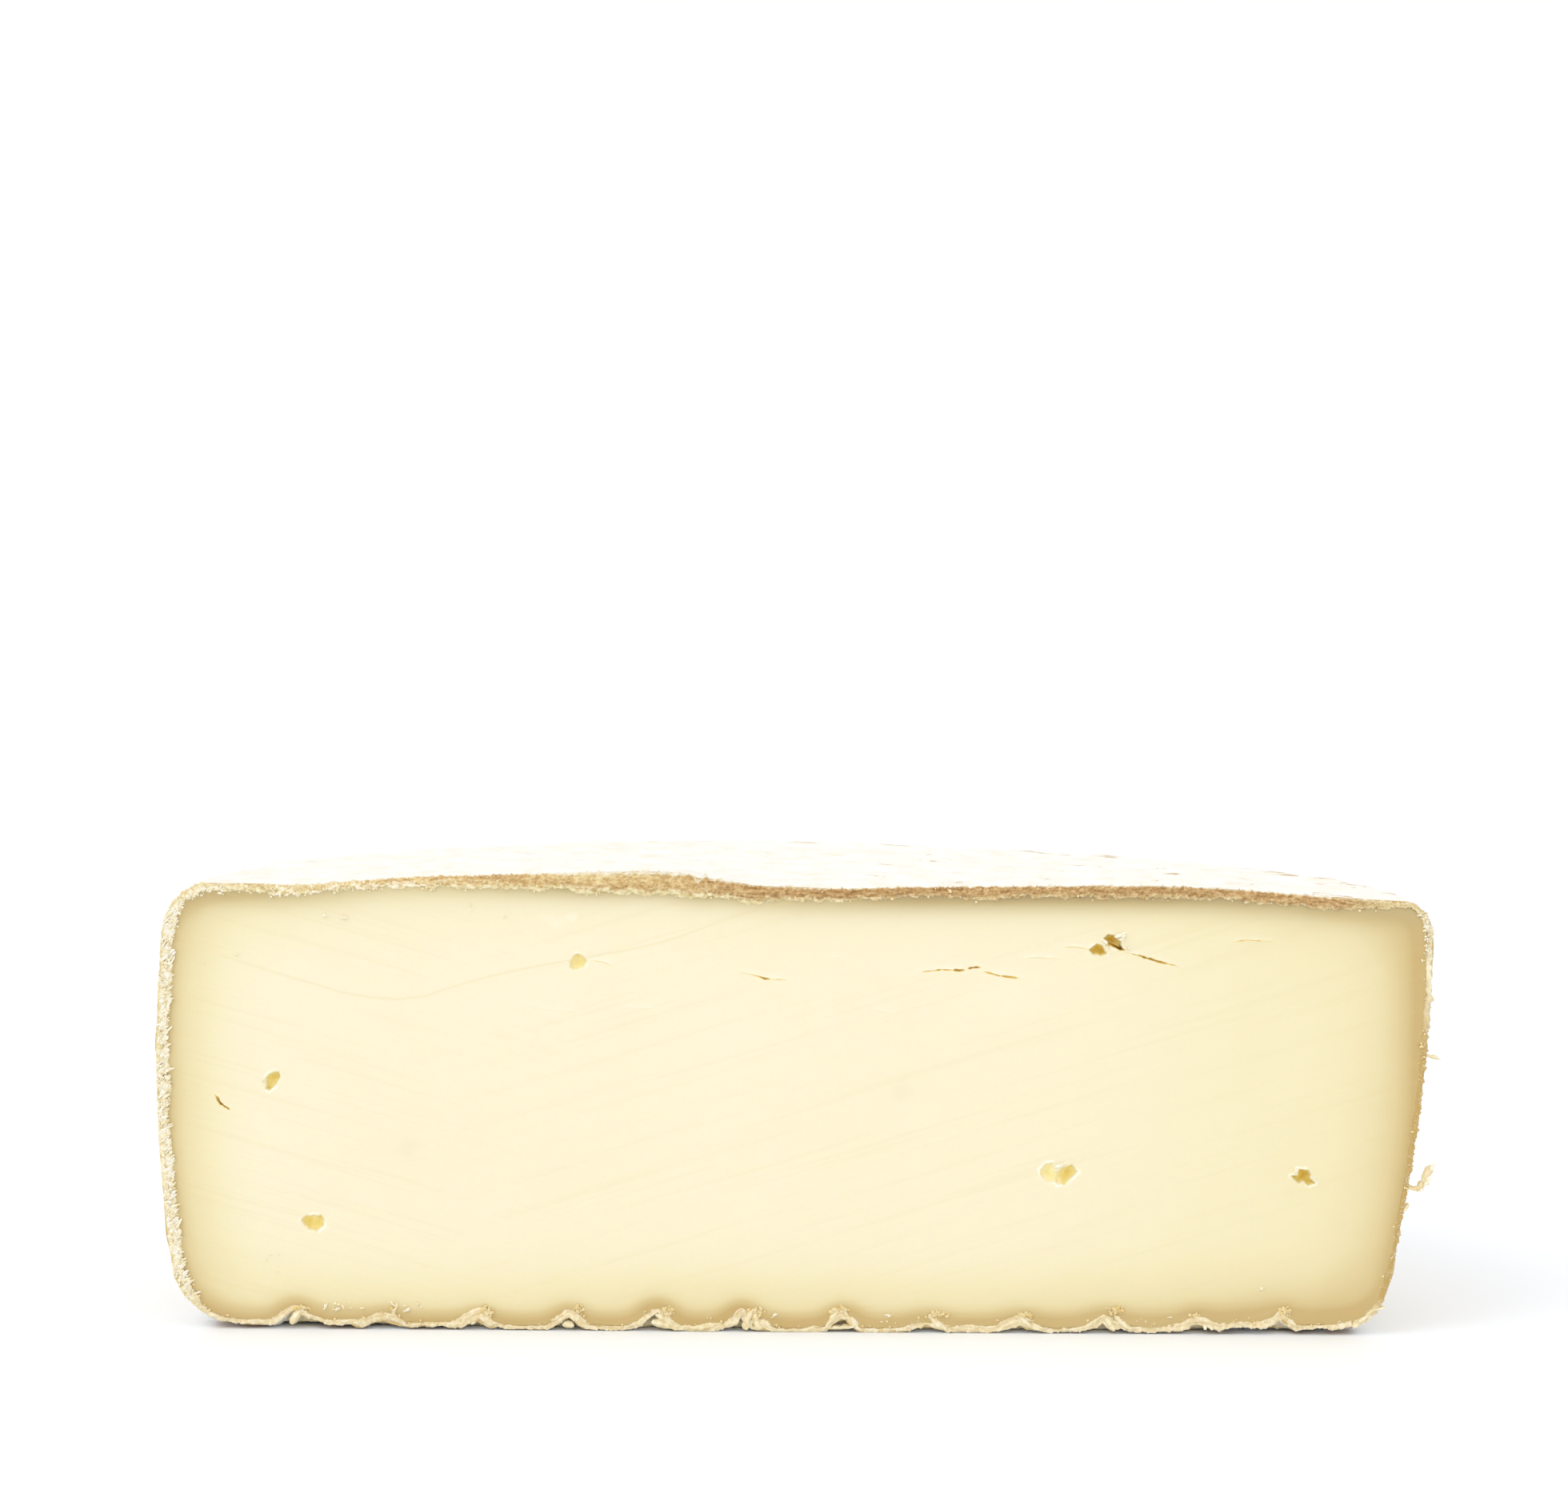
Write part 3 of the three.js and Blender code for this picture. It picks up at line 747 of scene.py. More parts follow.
# The rind where the knife tore it, all round the cut.
def makeTornRind(name, step, rowsAcross, isTop):
    edge = edgeOfCut(step)
    wanted = edge["top"] > 0.02 if isTop else edge["top"] < 0.5
    start = np.flatnonzero(wanted & ~np.roll(wanted, 1))[0]
    order = (start + np.arange(wanted.sum())) % len(wanted)
    # How far inward and forward each row lies: on the skin before the cut, and behind the torn face.
    skin = [(0.7, -1.9), (0.35, -1.3), (0.10, -0.9), (-0.05, -0.55), (-0.06, -0.25), (0.0, 0.0)]
    behind = [(1.0, -1.4), (0.7, -1.9)]
    rows = len(skin) + rowsAcross + len(behind)
    bpy.ops.object.select_all(action="DESELECT")
    bpy.ops.mesh.primitive_grid_add(x_subdivisions=len(order) - 1, y_subdivisions=rows, size=1)
    band = nameIt(bpy.context.object, name)
    points = pointsOf(band) * mm
    column = np.round((points[:, 0] + 0.5) * (len(order) - 1)).astype(int)
    i = order[column]
    k = np.round((points[:, 1] + 0.5) * rows).astype(int) % rows
    width, run = edge["width"][i], edge["run"][i]
    inwards = np.zeros(len(points))
    forward = np.zeros(len(points))
    for row, (a, b) in enumerate(skin):
        inwards[k == row], forward[k == row] = a, b
    for row, (a, b) in enumerate(behind):
        here = k == len(skin) + rowsAcross + row
        inwards[here], forward[here] = a * width[here], b
    onCut = (k >= len(skin)) & (k < rows - len(behind))
    share = (k - len(skin) + 1) / rowsAcross
    reach = width + tornEdge["overlap"]
    inwards = np.where(onCut, 0.04 + share * reach, inwards)
    inwards += edge["notch"][i] * np.clip(1 - inwards / reach, 0, 1)
    top, left, right, low, crest = (edge[zone][i] for zone in ("top", "left", "right", "bottom", "crest"))

    flat = np.column_stack([run, inwards + edge["dip"][i]])
    ragged = 0.34 * lumps(flat / (0.9, 2.0), 1, 43) + 0.24 * lumps(flat / (0.36, 1.2), 1, 44)
    across = (inwards + ragged * (0.45 + 0.6 * left + 0.3 * top)) / width
    fibre = lumps(flat / (2.2, 0.30), 1, 45)  # runs along the rind
    chip = lumps(flat / (0.75, 0.42), 1, 46)
    grit = lumps(flat / (0.36, 0.26), 1, 48)
    fine = lumps(flat / (0.19, 0.17), 1, 51)
    chunk = lumps(flat / (1.2, 0.8), 1, 47)
    curl = (1 - abs(lumps(flat / (1.0, 0.55), 1, 52))) ** 3  # thin winding ridges
    inner = smoothStep(0.58, 0.85, across)
    relief = top * (0.09 * chip + 0.09 * grit + 0.05 * fine + 0.09 * fibre + inner * (0.18 * curl - 0.06))
    relief += left * (0.13 * chunk + 0.07 * grit + 0.03 * fine + 0.20 * curl - 0.10)
    relief += right * (0.08 * chunk + 0.10 * grit + 0.05 * fine) * smoothStep(0.9, 0.3, across)
    relief += low * (0.10 * chunk + 0.10 * fibre + 0.05 * grit + 0.04 * fine + 0.12 * curl - 0.05)
    height = tornEdge["proud"] * (1 + 0.4 * left - 0.3 * low - 0.9 * right)
    height = height * smoothStep(1.22, 0.82, across) - 0.95 * smoothStep(0.98, 1.3, across)
    forward = np.where(onCut, height + relief * smoothStep(1.45, 1.05, across), forward)

    fringe = bump(k, len(skin) - 0.5, 2.4) * (k < len(skin) + 8)  # the ragged corner between skin and cut
    tuft = np.clip(lumps(flat / (0.42, 3.0), 1, 49), 0, 1) ** 1.5
    fluff = 0.42 * tuft + 0.14 * lumps(flat / (0.9, 3.0), 1, 50) + 0.10 * lumps(flat / (0.24, 3.0), 1, 53)
    inwards = inwards - fringe * fluff * (0.9 + 0.4 * top + 0.5 * right - 0.6 * left)
    forward = forward + fringe * 0.15 * lumps(flat / (0.5, 3.0), 1, 54)
    place = edge["line"][i] + edge["inward"][i] * inwards[:, None]
    place[:, 1] = np.maximum(place[:, 1], 0.02)
    movePoints(band, np.column_stack([place[:, 0], cutPlane - forward, place[:, 1]]))

    storeAsMap(band, "alongRind", flat / mapUnit)
    outer = inwards - edge["bloom"][i] + 0.25 * lumps(flat / (0.5, 3.0), 1, 55) + 2 * np.minimum(forward, 0)
    outer = smoothStep(-0.35, 0.1, outer)
    fromLeft = smoothStep(-101, -58, place[:, 0])
    bark = 0.15 + 0.75 * fromLeft + 0.3 * bump(across, 0.06, 0.2)
    bark *= 1 - 0.65 * smoothStep(93, 101, place[:, 0])
    toRight = smoothStep(0, 20, place[:, 0])
    bark *= top * smoothStep(1.02, 0.68, across + 0.2 * chip - 0.26 * toRight)
    bark *= 1 - 0.42 * bump(across, 0.9, 0.13)  # a paler line along its lower edge
    bark *= 1 - 0.5 * bump(place[:, 0], -31, 10) * smoothStep(0.5, 0.1, across)
    bark += left * 0.35 * bump(across, 0.02, 0.08)
    bark += low * (0.05 + 0.4 * smoothStep(0.1, 0.7, across) * smoothStep(0, 0.6, chunk))
    bark += 0.5 * crest * smoothStep(0.3, 0.9, across + 0.3 * chip)
    whiteEnd = smoothStep(-46, -84, place[:, 0])  # mould among the crumbs there
    scattered = 0.28 + 0.72 * whiteEnd - 0.22 * toRight
    crumb = top * inner * smoothStep(0.30, 0.75, curl + 0.25 * grit) * scattered
    crumb += top * whiteEnd * smoothStep(0.22, 0.45, across) * smoothStep(-0.4, 0.3, grit + chunk)
    knobbly = smoothStep(-0.7, 0.2, chunk + grit + curl - 0.5)
    crumb += left * smoothStep(0.1, 0.3, across) * (0.45 + 0.55 * knobbly)
    upRight = right * smoothStep(48, 68, place[:, 1])
    crumb += upRight * smoothStep(1.3, 0.3, across + 0.3 * chunk) + low * smoothStep(0.3, 0.8, curl) * 0.6
    storeOnPoints(band, "bark", np.clip(bark, 0, 1) * outer)
    storeOnPoints(band, "crumb", np.clip(crumb, 0, 1) * outer)
    storeOnPoints(band, "skin", (1 - outer) * (1 - 0.7 * right))
    storeOnPoints(band, "under", low)
    storeOnPoints(band, "ripe", right - upRight)
    toasted = smoothStep(-28, -6, place[:, 0]) + 0.3 * bump(place[:, 0], -50, 9)
    toasted += 0.9 * bump(place[:, 0], -31, 10) * smoothStep(0.3, 0.8, across)
    storeOnPoints(band, "toasted", top * np.clip(toasted, 0, 1))
    # painted shade: paler where the torn rind stands out and darker in its hollows, over its own uneven tone
    storeOnPoints(band, "hollowShadeAndTone", np.clip(0.5 + relief * 2.2 + 0.10 * fine, 0, 1))

    editAll(band)
    bpy.ops.mesh.remove_doubles(threshold=0.001 * mm)
    bpy.ops.mesh.fill_holes(sides=0)
    bpy.ops.mesh.select_all(action="SELECT")
    bpy.ops.mesh.normals_make_consistent(inside=False)
    bpy.ops.object.mode_set(mode="OBJECT")
    smoothShade(band)
    print(name, len(band.data.polygons), "faces")
    return band


tornTop = makeTornRind("torn_rind_top", tornEdge["topStep"], tornEdge["topRows"], True)
tornWall = makeTornRind("torn_rind_wall", tornEdge["wallStep"], tornEdge["wallRows"], False)
edge = edgeOfCut(0.25)


# Crumbs, flakes and hairs.
dice = np.random.default_rng(7)


def copies(name, template, shapes):  # one mesh of many copies, each with its own places for the points
    corners = np.empty(len(template.data.loops), int)
    template.data.loops.foreach_get("vertex_index", corners)
    faces, at = [], 0
    for face in template.data.polygons:
        faces.append(corners[at : at + face.loop_total].tolist())
        at += face.loop_total
    count = len(template.data.vertices)
    allFaces = [[v + k * count for v in face] for k in range(len(shapes)) for face in faces]
    mesh = bpy.data.meshes.new(name)
    mesh.from_pydata((np.vstack(shapes) * mm).tolist(), [], allFaces)
    piece = bpy.data.objects.new(name, mesh)
    bpy.context.collection.objects.link(piece)
    bpy.data.objects.remove(template)
    return piece


def scatter(name, template, places):  # each place is (centre, 3 axes as rows)
    shape = pointsOf(template)
    return copies(name, template, [shape @ axes + centre for centre, axes in places])


def roundLump(name, detail):  # radius 1 mm
    bpy.ops.object.select_all(action="DESELECT")
    bpy.ops.mesh.primitive_ico_sphere_add(subdivisions=detail, radius=mm)
    lump = nameIt(bpy.context.object, name)
    points = pointsOf(lump)
    movePoints(lump, points * (1 + 0.42 * lumps(points, 0.9, 61))[:, None])
    return lump


def anyLump(size):  # the three axes of a lump of its own proportions, turned any way
    stretch = np.diag(size * dice.uniform(0.7, 1.5, 3))
    turn, _ = np.linalg.qr(dice.normal(size=(3, 3)))
    return stretch @ (turn * np.sign(np.linalg.det(turn)))


def roughen(piece, amount, size, seed):
    points = pointsOf(piece)
    outward = normalsOf(piece)
    relief = amount * lumps(points, size, seed) + 0.5 * amount * lumps(points, size / 2, seed + 1)
    points += outward * relief[:, None]
    points[:, 2] = np.maximum(points[:, 2], 0.02)
    movePoints(piece, points)


# Crumbs of curd. Half sizes are in mm: the least, and how much more the largest has.
crumbSize = {
    "count": 1100,  # along the rim
    "rim": (0.09, 0.16),
    "crest": (0.11, 0.20),
    "stray": (0.08, 0.14),
    "crestShare": 1.6,  # crumbs for each one counted below
}

# Golden lumps of paste over the grooves: x, z, how wide and tall each heap is, and count.
crestCrumbs = [
    (-84.6, 3.1, 0.9, 0.3, 16), (-69.3, 2.9, 0.5, 0.4, 9), (-52.9, 3.0, 0.9, 0.6, 34),
    (-37.1, 3.7, 0.6, 0.7, 30), (-21.7, 3.4, 0.9, 0.6, 32), (-6.0, 3.4, 1.1, 0.7, 38),
    (8.4, 3.9, 1.3, 0.4, 36), (25.0, 3.2, 1.4, 0.5, 38), (40.6, 3.1, 1.1, 0.5, 32),
    (56.1, 3.8, 1.0, 0.6, 34), (69.8, 3.0, 0.9, 0.3, 14), (85.4, 3.6, 0.9, 0.6, 32),
]

# Loose crumbs on the paste: x, z, spread and count.
strayCrumbs = [
    (-77.5, 3.6, 1.6, 7), (-65.5, 3.7, 1.0, 5), (-90, 12, 4, 4), (-14.5, 2.6, 1.0, 3), (17, 1.9, 0.8, 3),
    (62, 2.1, 1.2, 4), (81.5, 7.6, 0.8, 3), (-98, 66, 3, 4), (-52, 73.2, 3, 3),
]


def makeCrumbs():
    x, z = edge["line"].T
    chance = 1.2 * edge["left"] + edge["top"] * np.interp(x, (-80, -50, 0), (0.9, 0.3, 0.06))
    chance += 0.08 * edge["bottom"]
    chance += edge["right"] * np.interp(z, (40, 64, 70), (0.04, 0.14, 2.0))
    places, golden = [], []
    least, more = crumbSize["rim"]
    for i in dice.choice(len(edge["line"]), crumbSize["count"], p=chance / chance.sum()):
        spread = dice.normal(0, 0.22) + abs(dice.normal(0, 0.12))
        share = 1.0 if dice.random() < 0.6 else dice.random()
        if edge["left"][i] > 0.5:
            share = dice.random() ** 0.6
        inwards = edge["width"][i] * share + spread
        x, z = edge["line"][i] + edge["inward"][i] * max(inwards, 0.25)
        size = least + more * dice.random() ** 2.2 + 0.08 * edge["left"][i]
        sunk = 0.16 * (share < 0.95) * (1 + 0.5 * edge["left"][i])
        places.append((np.array([x, cutPlane - sunk - 0.3 * size, max(z, size)]), anyLump(size)))
        onTop = 0.5 * edge["top"][i] * smoothStep(-85, -55, x)
        golden.append(onTop + 0.6 * edge["bottom"][i] + 0.6 * edge["right"][i] * smoothStep(68, 58, z))
    least, more = crumbSize["crest"]
    for x, z, wide, tall, count in crestCrumbs:
        for _ in range(round(crumbSize["crestShare"] * count)):
            size = least + more * dice.random() ** 1.5
            x1, z1 = settled(x + dice.normal(0, 0.6 * wide), z + dice.normal(0, 0.6 * tall))
            shape = anyLump(size)
            places.append((np.array([x1, cutPlane - dice.uniform(-0.08, 0.2), z1]), shape))
            golden.append(dice.uniform(0.3, 0.85))
    least, more = crumbSize["stray"]
    for x, z, spread, count in strayCrumbs:
        for _ in range(count):
            size = least + more * dice.random()
            x1, z1 = settled(x + dice.normal(0, spread), z + dice.normal(0, 0.4 * spread))
            places.append((np.array([x1, cutPlane - 0.2 * size, z1]), anyLump(size)))
    crumbs = scatter("curd_crumbs", roundLump("crumb", 2), places)
    golden += [0] * (len(places) - len(golden))
    storeOnPoints(crumbs, "golden", np.repeat(golden, len(crumbs.data.vertices) // len(places)))
    roughen(crumbs, 0.08, 0.25, 63)
    smoothShade(crumbs, 50)
    return crumbs


# Torn tongues of rind: how golden each is, how far behind the cut it starts, then x, z and half
# thickness along it. The first hang in the mouths of the grooves.
folds = [
    (0.1, 0.0, [(-85.1, 2.9, 0.56), (-85.8, 1.9, 0.78), (-86.5, 0.7, 0.70), (-86.7, 0.2, 0.28)]),
    (0.2, 0.0, [(-69.2, 2.4, 0.28), (-68.6, 3.5, 0.35), (-68.4, 4.3, 0.18)]),
    (0.1, 0.0, [(-53.8, 2.7, 0.49), (-53.4, 1.9, 0.70), (-52.8, 1.0, 0.78), (-51.8, 0.6, 0.35)]),
    (0.1, 0.0, [(-55.6, 0.8, 0.21), (-55.0, 1.1, 0.35), (-54.6, 1.3, 0.21)]),
    (0.1, 0.0, [(-39.7, 1.0, 0.49), (-38.8, 0.9, 0.78), (-37.8, 0.9, 0.43)]),
    (0.1, 0.0, [(-38.1, 2.8, 0.43), (-37.3, 2.0, 0.56), (-36.7, 1.1, 0.78), (-36.0, 0.7, 0.49)]),
    (0.1, 0.0, [(-24.3, 1.7, 0.49), (-23.2, 1.4, 0.78), (-21.8, 1.2, 0.78), (-20.6, 0.7, 0.49),
                (-19.9, 0.3, 0.21)]),
    (0.1, 0.0, [(-23.5, 3.0, 0.28), (-22.8, 2.5, 0.56), (-21.8, 1.8, 0.62), (-20.6, 0.9, 0.43)]),
    (0.4, 0.0, [(-18.1, 1.0, 0.23), (-17.2, 0.6, 0.38), (-16.0, 0.6, 0.53), (-14.4, 0.9, 0.53),
                (-13.2, 1.2, 0.23)]),
    (0.1, 0.0, [(-6.8, 3.7, 0.49), (-7.6, 2.4, 0.70), (-7.9, 0.9, 0.78), (-7.8, 0.4, 0.43)]),
    (0.1, 0.0, [(-6.5, 3.3, 0.56), (-6.2, 1.9, 0.84), (-5.9, 0.9, 0.70), (-5.0, 0.7, 0.35)]),
    (0.1, 0.0, [(6.3, 0.6, 0.28), (7.7, 0.8, 0.43), (9.7, 0.8, 0.43), (10.8, 1.0, 0.28)]),
    (0.1, 0.0, [(7.8, 4.1, 0.49), (7.4, 3.0, 0.62), (6.5, 1.7, 0.56), (6.0, 0.7, 0.35)]),
    (0.1, 0.0, [(23.8, 3.2, 0.35), (24.6, 2.2, 0.70), (25.7, 1.3, 0.70), (26.8, 0.6, 0.43)]),
    (0.1, 0.0, [(39.6, 2.9, 0.35), (40.5, 1.9, 0.62), (41.6, 1.1, 0.56), (43.2, 0.4, 0.28)]),
    (0.1, 0.0, [(54.3, 2.8, 0.35), (54.9, 1.7, 0.62), (55.5, 0.9, 0.70), (55.9, 0.3, 0.28)]),
    (0.1, 0.0, [(56.0, 2.9, 0.35), (56.8, 2.0, 0.56), (57.8, 1.1, 0.49), (59.0, 0.5, 0.28)]),
    (0.1, 0.0, [(69.5, 2.9, 0.39), (70.6, 2.4, 0.55), (71.9, 1.9, 0.47), (73.5, 1.4, 0.31)]),
    (0.1, 0.0, [(71.4, 1.3, 0.20), (71.6, 0.9, 0.35), (71.8, 0.5, 0.20)]),
    (0.1, 0.0, [(72.4, 1.1, 0.20), (72.6, 0.8, 0.31), (72.9, 0.5, 0.20)]),
    (0.1, 0.0, [(73.2, 1.0, 0.20), (73.8, 0.6, 0.39), (74.3, 0.2, 0.24)]),
    (0.1, 0.0, [(98.3, 1.6, 0.39), (99.4, 2.2, 0.55), (100.2, 3.5, 0.47), (101.4, 3.8, 0.31),
                (102.7, 4.2, 0.24)]),
]

# Skin that closes the grooves behind the cut: x at the left, the middle's x, z and half thickness,
# and x at the right.
plugs = [
    (-89.0, -86.4, 1.4, 1.40, -81.8), (-72.6, -70.5, 0.7, 0.89, -68.0), (-57.0, -54.1, 0.8, 1.03, -52.6),
    (-41.4, -38.6, 1.1, 1.23, -36.2), (-26.6, -23.3, 1.6, 1.57, -20.2), (-11.4, -8.7, 1.3, 1.33, -4.4),
    (6.6, 9.0, 1.2, 1.30, 11.4), (20.4, 23.3, 0.7, 0.89, 26.4), (36.6, 39.5, 0.7, 0.89, 42.8),
    (51.0, 53.9, 0.8, 1.03, 57.8), (67.8, 69.7, 0.7, 0.89, 73.2), (82.4, 84.5, 0.9, 1.06, 86.8),
]
for left, x, z, half, right in plugs:
    folds.append((0.3, 3.0, [(left, 0.4, 0.55), (x, z, half), (right, 0.5, 0.60)]))

# Tongues on the right edge, and two golden ones over grooves.
folds += [
    (0.3, 0.6, [(107.6, 25.9, 0.30), (108.4, 25.5, 0.52), (109.0, 26.2, 0.66), (109.4, 27.1, 0.42)]),
    (0.3, 0.6, [(109.0, 26.7, 0.36), (109.7, 27.7, 0.66), (110.2, 28.8, 0.72), (110.8, 29.9, 0.38)]),
    (0.9, 0.4, [(105.8, 25.8, 0.25), (107.0, 25.8, 0.36), (108.2, 25.4, 0.25)]),
    (0.3, 0.4, [(105.3, 21.6, 0.25), (106.1, 22.2, 0.44), (106.6, 23.1, 0.25)]),
    (0.7, 0.2, [(84.5, 4.1, 0.30), (84.9, 3.0, 0.55), (85.7, 2.0, 0.60), (87.2, 0.8, 0.35)]),
    (0.7, 0.2, [(9.1, 4.0, 0.35), (9.6, 2.9, 0.62), (10.2, 1.7, 0.62), (11.0, 0.9, 0.38)]),
    (0.4, 0.4, [(109.2, 48.9, 0.20), (110.1, 48.8, 0.30), (111.0, 48.5, 0.26), (111.8, 48.2, 0.12)]),
]

# Flakes that stand off the rim: x, z, half length, half thickness, turn in degrees.
hanging = [
    (109.0, 71.4, 0.8, 0.12, 14), (107.6, 73.2, 0.5, 0.16, -40), (-81, 72.0, 0.5, 0.2, 15),
    (-77.5, 71.7, 0.6, 0.2, -20),
    # beside the eyes
    (46.3, 29.4, 0.6, 0.42, 10), (87.0, 28.7, 0.4, 0.3, 45), (90.1, 27.6, 0.35, 0.22, -60),
    (56.3, 69.4, 0.7, 0.42, 35), (53.5, 68.3, 0.6, 0.3, -55), (53.9, 67.1, 0.5, 0.16, 80),
    (57.4, 67.2, 0.5, 0.22, -30), (-91.4, 43.4, 0.25, 0.2, 80),
    # over the grooves
    (-80.8, 3.5, 0.35, 0.2, 60), (-79.0, 3.0, 0.6, 0.24, 0), (-77.8, 3.5, 0.35, 0.2, -50),
    (-74.4, 3.3, 0.35, 0.16, 0), (-69.3, 4.2, 0.4, 0.25, -30), (-66.8, 3.1, 0.45, 0.3, 10),
    (81.3, 7.7, 0.5, 0.22, 10), (-3.0, 3.0, 0.35, 0.25, 20), (16.6, 3.0, 0.35, 0.22, -10),
    (65.6, 2.6, 0.35, 0.2, 10),
    # at the tongue on the right
    (109.5, 27.0, 0.6, 0.42, 60), (110.4, 29.4, 0.5, 0.4, 55), (108.6, 25.4, 0.4, 0.34, 10),
]

# Feathers of dry paste on the left band, swept up and in.
feathers = {"count": 420, "size": (0.2, 0.42), "turn": 40}

# Mould and torn fibres that stand off the rim, in mm.
hairSize = {"count": 1400, "length": (0.25, 0.75), "thick": (0.03, 0.07), "taper": 0.85, "waviness": 0.16}


def makeFolds():  # each is a ball drawn out along its own line
    bpy.ops.object.select_all(action="DESELECT")
    bpy.ops.mesh.primitive_uv_sphere_add(segments=28, ring_count=22, radius=mm)
    ball = nameIt(bpy.context.object, "fold")
    points = pointsOf(ball)
    share = np.arccos(np.clip(points[:, 2], -1, 1)) / math.pi
    angle = np.arctan2(points[:, 1], points[:, 0])
    fullness = np.sin(math.pi * share) ** 0.4
    shapes = []
    for _, behind, line in folds:
        line = np.array(line)
        path = rounded(line[:, :2])
        run = np.linspace(0, 1, len(path))
        middle = np.column_stack([np.interp(share, run, path[:, k]) for k in (0, 1)])
        ahead = np.column_stack([np.interp(share + 0.05, run, path[:, k]) for k in (0, 1)])
        ahead -= np.column_stack([np.interp(share - 0.05, run, path[:, k]) for k in (0, 1)])
        ahead = unit(ahead)
        half = np.interp(share, np.linspace(0, 1, len(line)), line[:, 2]) * fullness
        across = half * np.cos(angle)
        deep = 0.55 + 1.2 * half
        y = cutPlane + behind + deep * fullness * (1 + np.sin(angle)) - dice.uniform(0.3, 0.6)
        x, z = settled(middle[:, 0] - ahead[:, 1] * across, middle[:, 1] + ahead[:, 0] * across)
        shapes.append(np.column_stack([x, y, np.maximum(z, 0.05)]))
    piece = copies("rind_folds", ball, shapes)
    roughen(piece, 0.16, 0.8, 65)
    roughen(piece, 0.08, 0.3, 67)
    storeOnPoints(piece, "golden", np.repeat([golden for golden, _, _ in folds], len(points)))
    smoothShade(piece)
    return piece


def makeFlakes():
    places = []
    for x, z, length, thick, turn in hanging:
        axis = np.array([math.cos(math.radians(turn)), 0, math.sin(math.radians(turn))])
        for share in np.linspace(-0.9, 0.9, max(4, round(9 * length))):
            size = 0.9 * thick * (1.15 - 0.5 * abs(share)) * dice.uniform(0.6, 1.2)
            x1, z1 = settled(x, z)
            middle = np.array([x1, cutPlane - 0.2, z1]) + axis * share * length
            middle += dice.normal(0, 0.4 * thick, 3) * (1, 1.2, 1)
            swing = math.radians(turn + dice.normal(0, 16))
            axes = np.diag((size * dice.uniform(1.2, 2.0), size * 1.4, size * 0.8))
            places.append((middle, axes @ np.array(Matrix.Rotation(-swing, 3, "Y")).T))
    for _ in range(feathers["count"]):
        i = dice.choice(np.flatnonzero(edge["left"] > 0.6))
        inwards = edge["width"][i] * (0.25 + 0.85 * dice.random())
        x, z = edge["line"][i] + edge["inward"][i] * inwards
        swing = math.radians(feathers["turn"] + dice.normal(0, 14))
        size = dice.uniform(*feathers["size"])
        axes = np.diag((size * dice.uniform(1.3, 2.4), 0.35 * size, size * dice.uniform(0.35, 0.6)))
        axes = axes @ np.array(Matrix.Rotation(dice.normal(0, 0.5), 3, "X")).T
        axes = axes @ np.array(Matrix.Rotation(-swing, 3, "Y")).T
        places.append((np.array([x, cutPlane - 0.38, z]), axes))
    piece = scatter("rind_flakes", roundLump("flake", 2), places)
    roughen(piece, 0.07, 0.3, 67)
    smoothShade(piece, 60)
    return piece


def makeHairs():
    bpy.ops.object.select_all(action="DESELECT")
    bpy.ops.mesh.primitive_cylinder_add(
        vertices=4, radius=mm, depth=mm, location=(0, 0, 0.5 * mm), end_fill_type="TRIFAN")
    bpy.ops.object.transform_apply(location=True)
    hair = nameIt(bpy.context.object, "hair")
    editAll(hair)
    bpy.ops.mesh.subdivide(number_cuts=1)
    bpy.ops.mesh.quads_convert_to_tris()
    bpy.ops.object.mode_set(mode="OBJECT")
    points = pointsOf(hair)
    rise = points[:, 2]
    thin = 1 - hairSize["taper"] * rise
    movePoints(hair, np.column_stack([points[:, 0] * thin, points[:, 1] * thin, rise]))
    chance = 0.4 * edge["left"] + 0.4 * edge["top"] + 2.2 * edge["right"] + 0.25 * edge["bottom"]
    chance *= 1 + 2.5 * smoothStep(60, 70, edge["line"][:, 1]) * edge["right"]
    places, golden = [], []
    for i in dice.choice(len(edge["line"]), hairSize["count"], p=chance / chance.sum()):
        left, right, top = edge["left"][i], edge["right"][i], edge["top"][i]
        outer = right > 0.5 or dice.random() < 0.4 - 0.3 * left + 0.3 * top
        if outer:
            inwards = dice.uniform(-0.05, 0.35 + 0.5 * right)
        else:
            inwards = edge["width"][i] * dice.uniform(0.7, 1.05)
        x, z = edge["line"][i] + edge["inward"][i] * inwards
        lean = -edge["inward"][i] if outer else edge["inward"][i]
        lean = lean * dice.uniform(0.3, 1.0) + dice.normal(0, 0.55, 2)
        brownRim = top * smoothStep(-10, 10, x)  # there the fibres lie along the rim
        lean += np.array([1, 0]) * brownRim * dice.normal(0, 1.2)
        up = np.array([lean[0], -abs(dice.normal(0.3, 0.3)), lean[1]])
        up /= np.linalg.norm(up)
        length = dice.uniform(*hairSize["length"]) * (1 + 0.35 * right)
        thick = dice.uniform(*hairSize["thick"]) * (1 + brownRim)
        beside = np.cross(up, dice.normal(size=3))
        beside /= np.linalg.norm(beside)
        axes = np.vstack([beside * thick, np.cross(up, beside) * thick, up * length])
        ahead = dice.uniform(-0.8, 0.25) * outer + 0.2 * (not outer)
        places.append((np.array([x, cutPlane - ahead, max(z, 0.3)]), axes))
        golden.append(top * smoothStep(-60, -10, x) * dice.uniform(0.2, 1))
    each = len(points)
    hairs = scatter("mould_hairs", hair, places)
    storeOnPoints(hairs, "golden", np.repeat(golden, each))
    points = pointsOf(hairs)
    points += hairSize["waviness"] * np.column_stack([lumps(points, 0.7, 70 + k) for k in range(3)])
    points[:, 2] = np.maximum(points[:, 2], 0.02)
    movePoints(hairs, points)
    smoothShade(hairs)
    return hairs


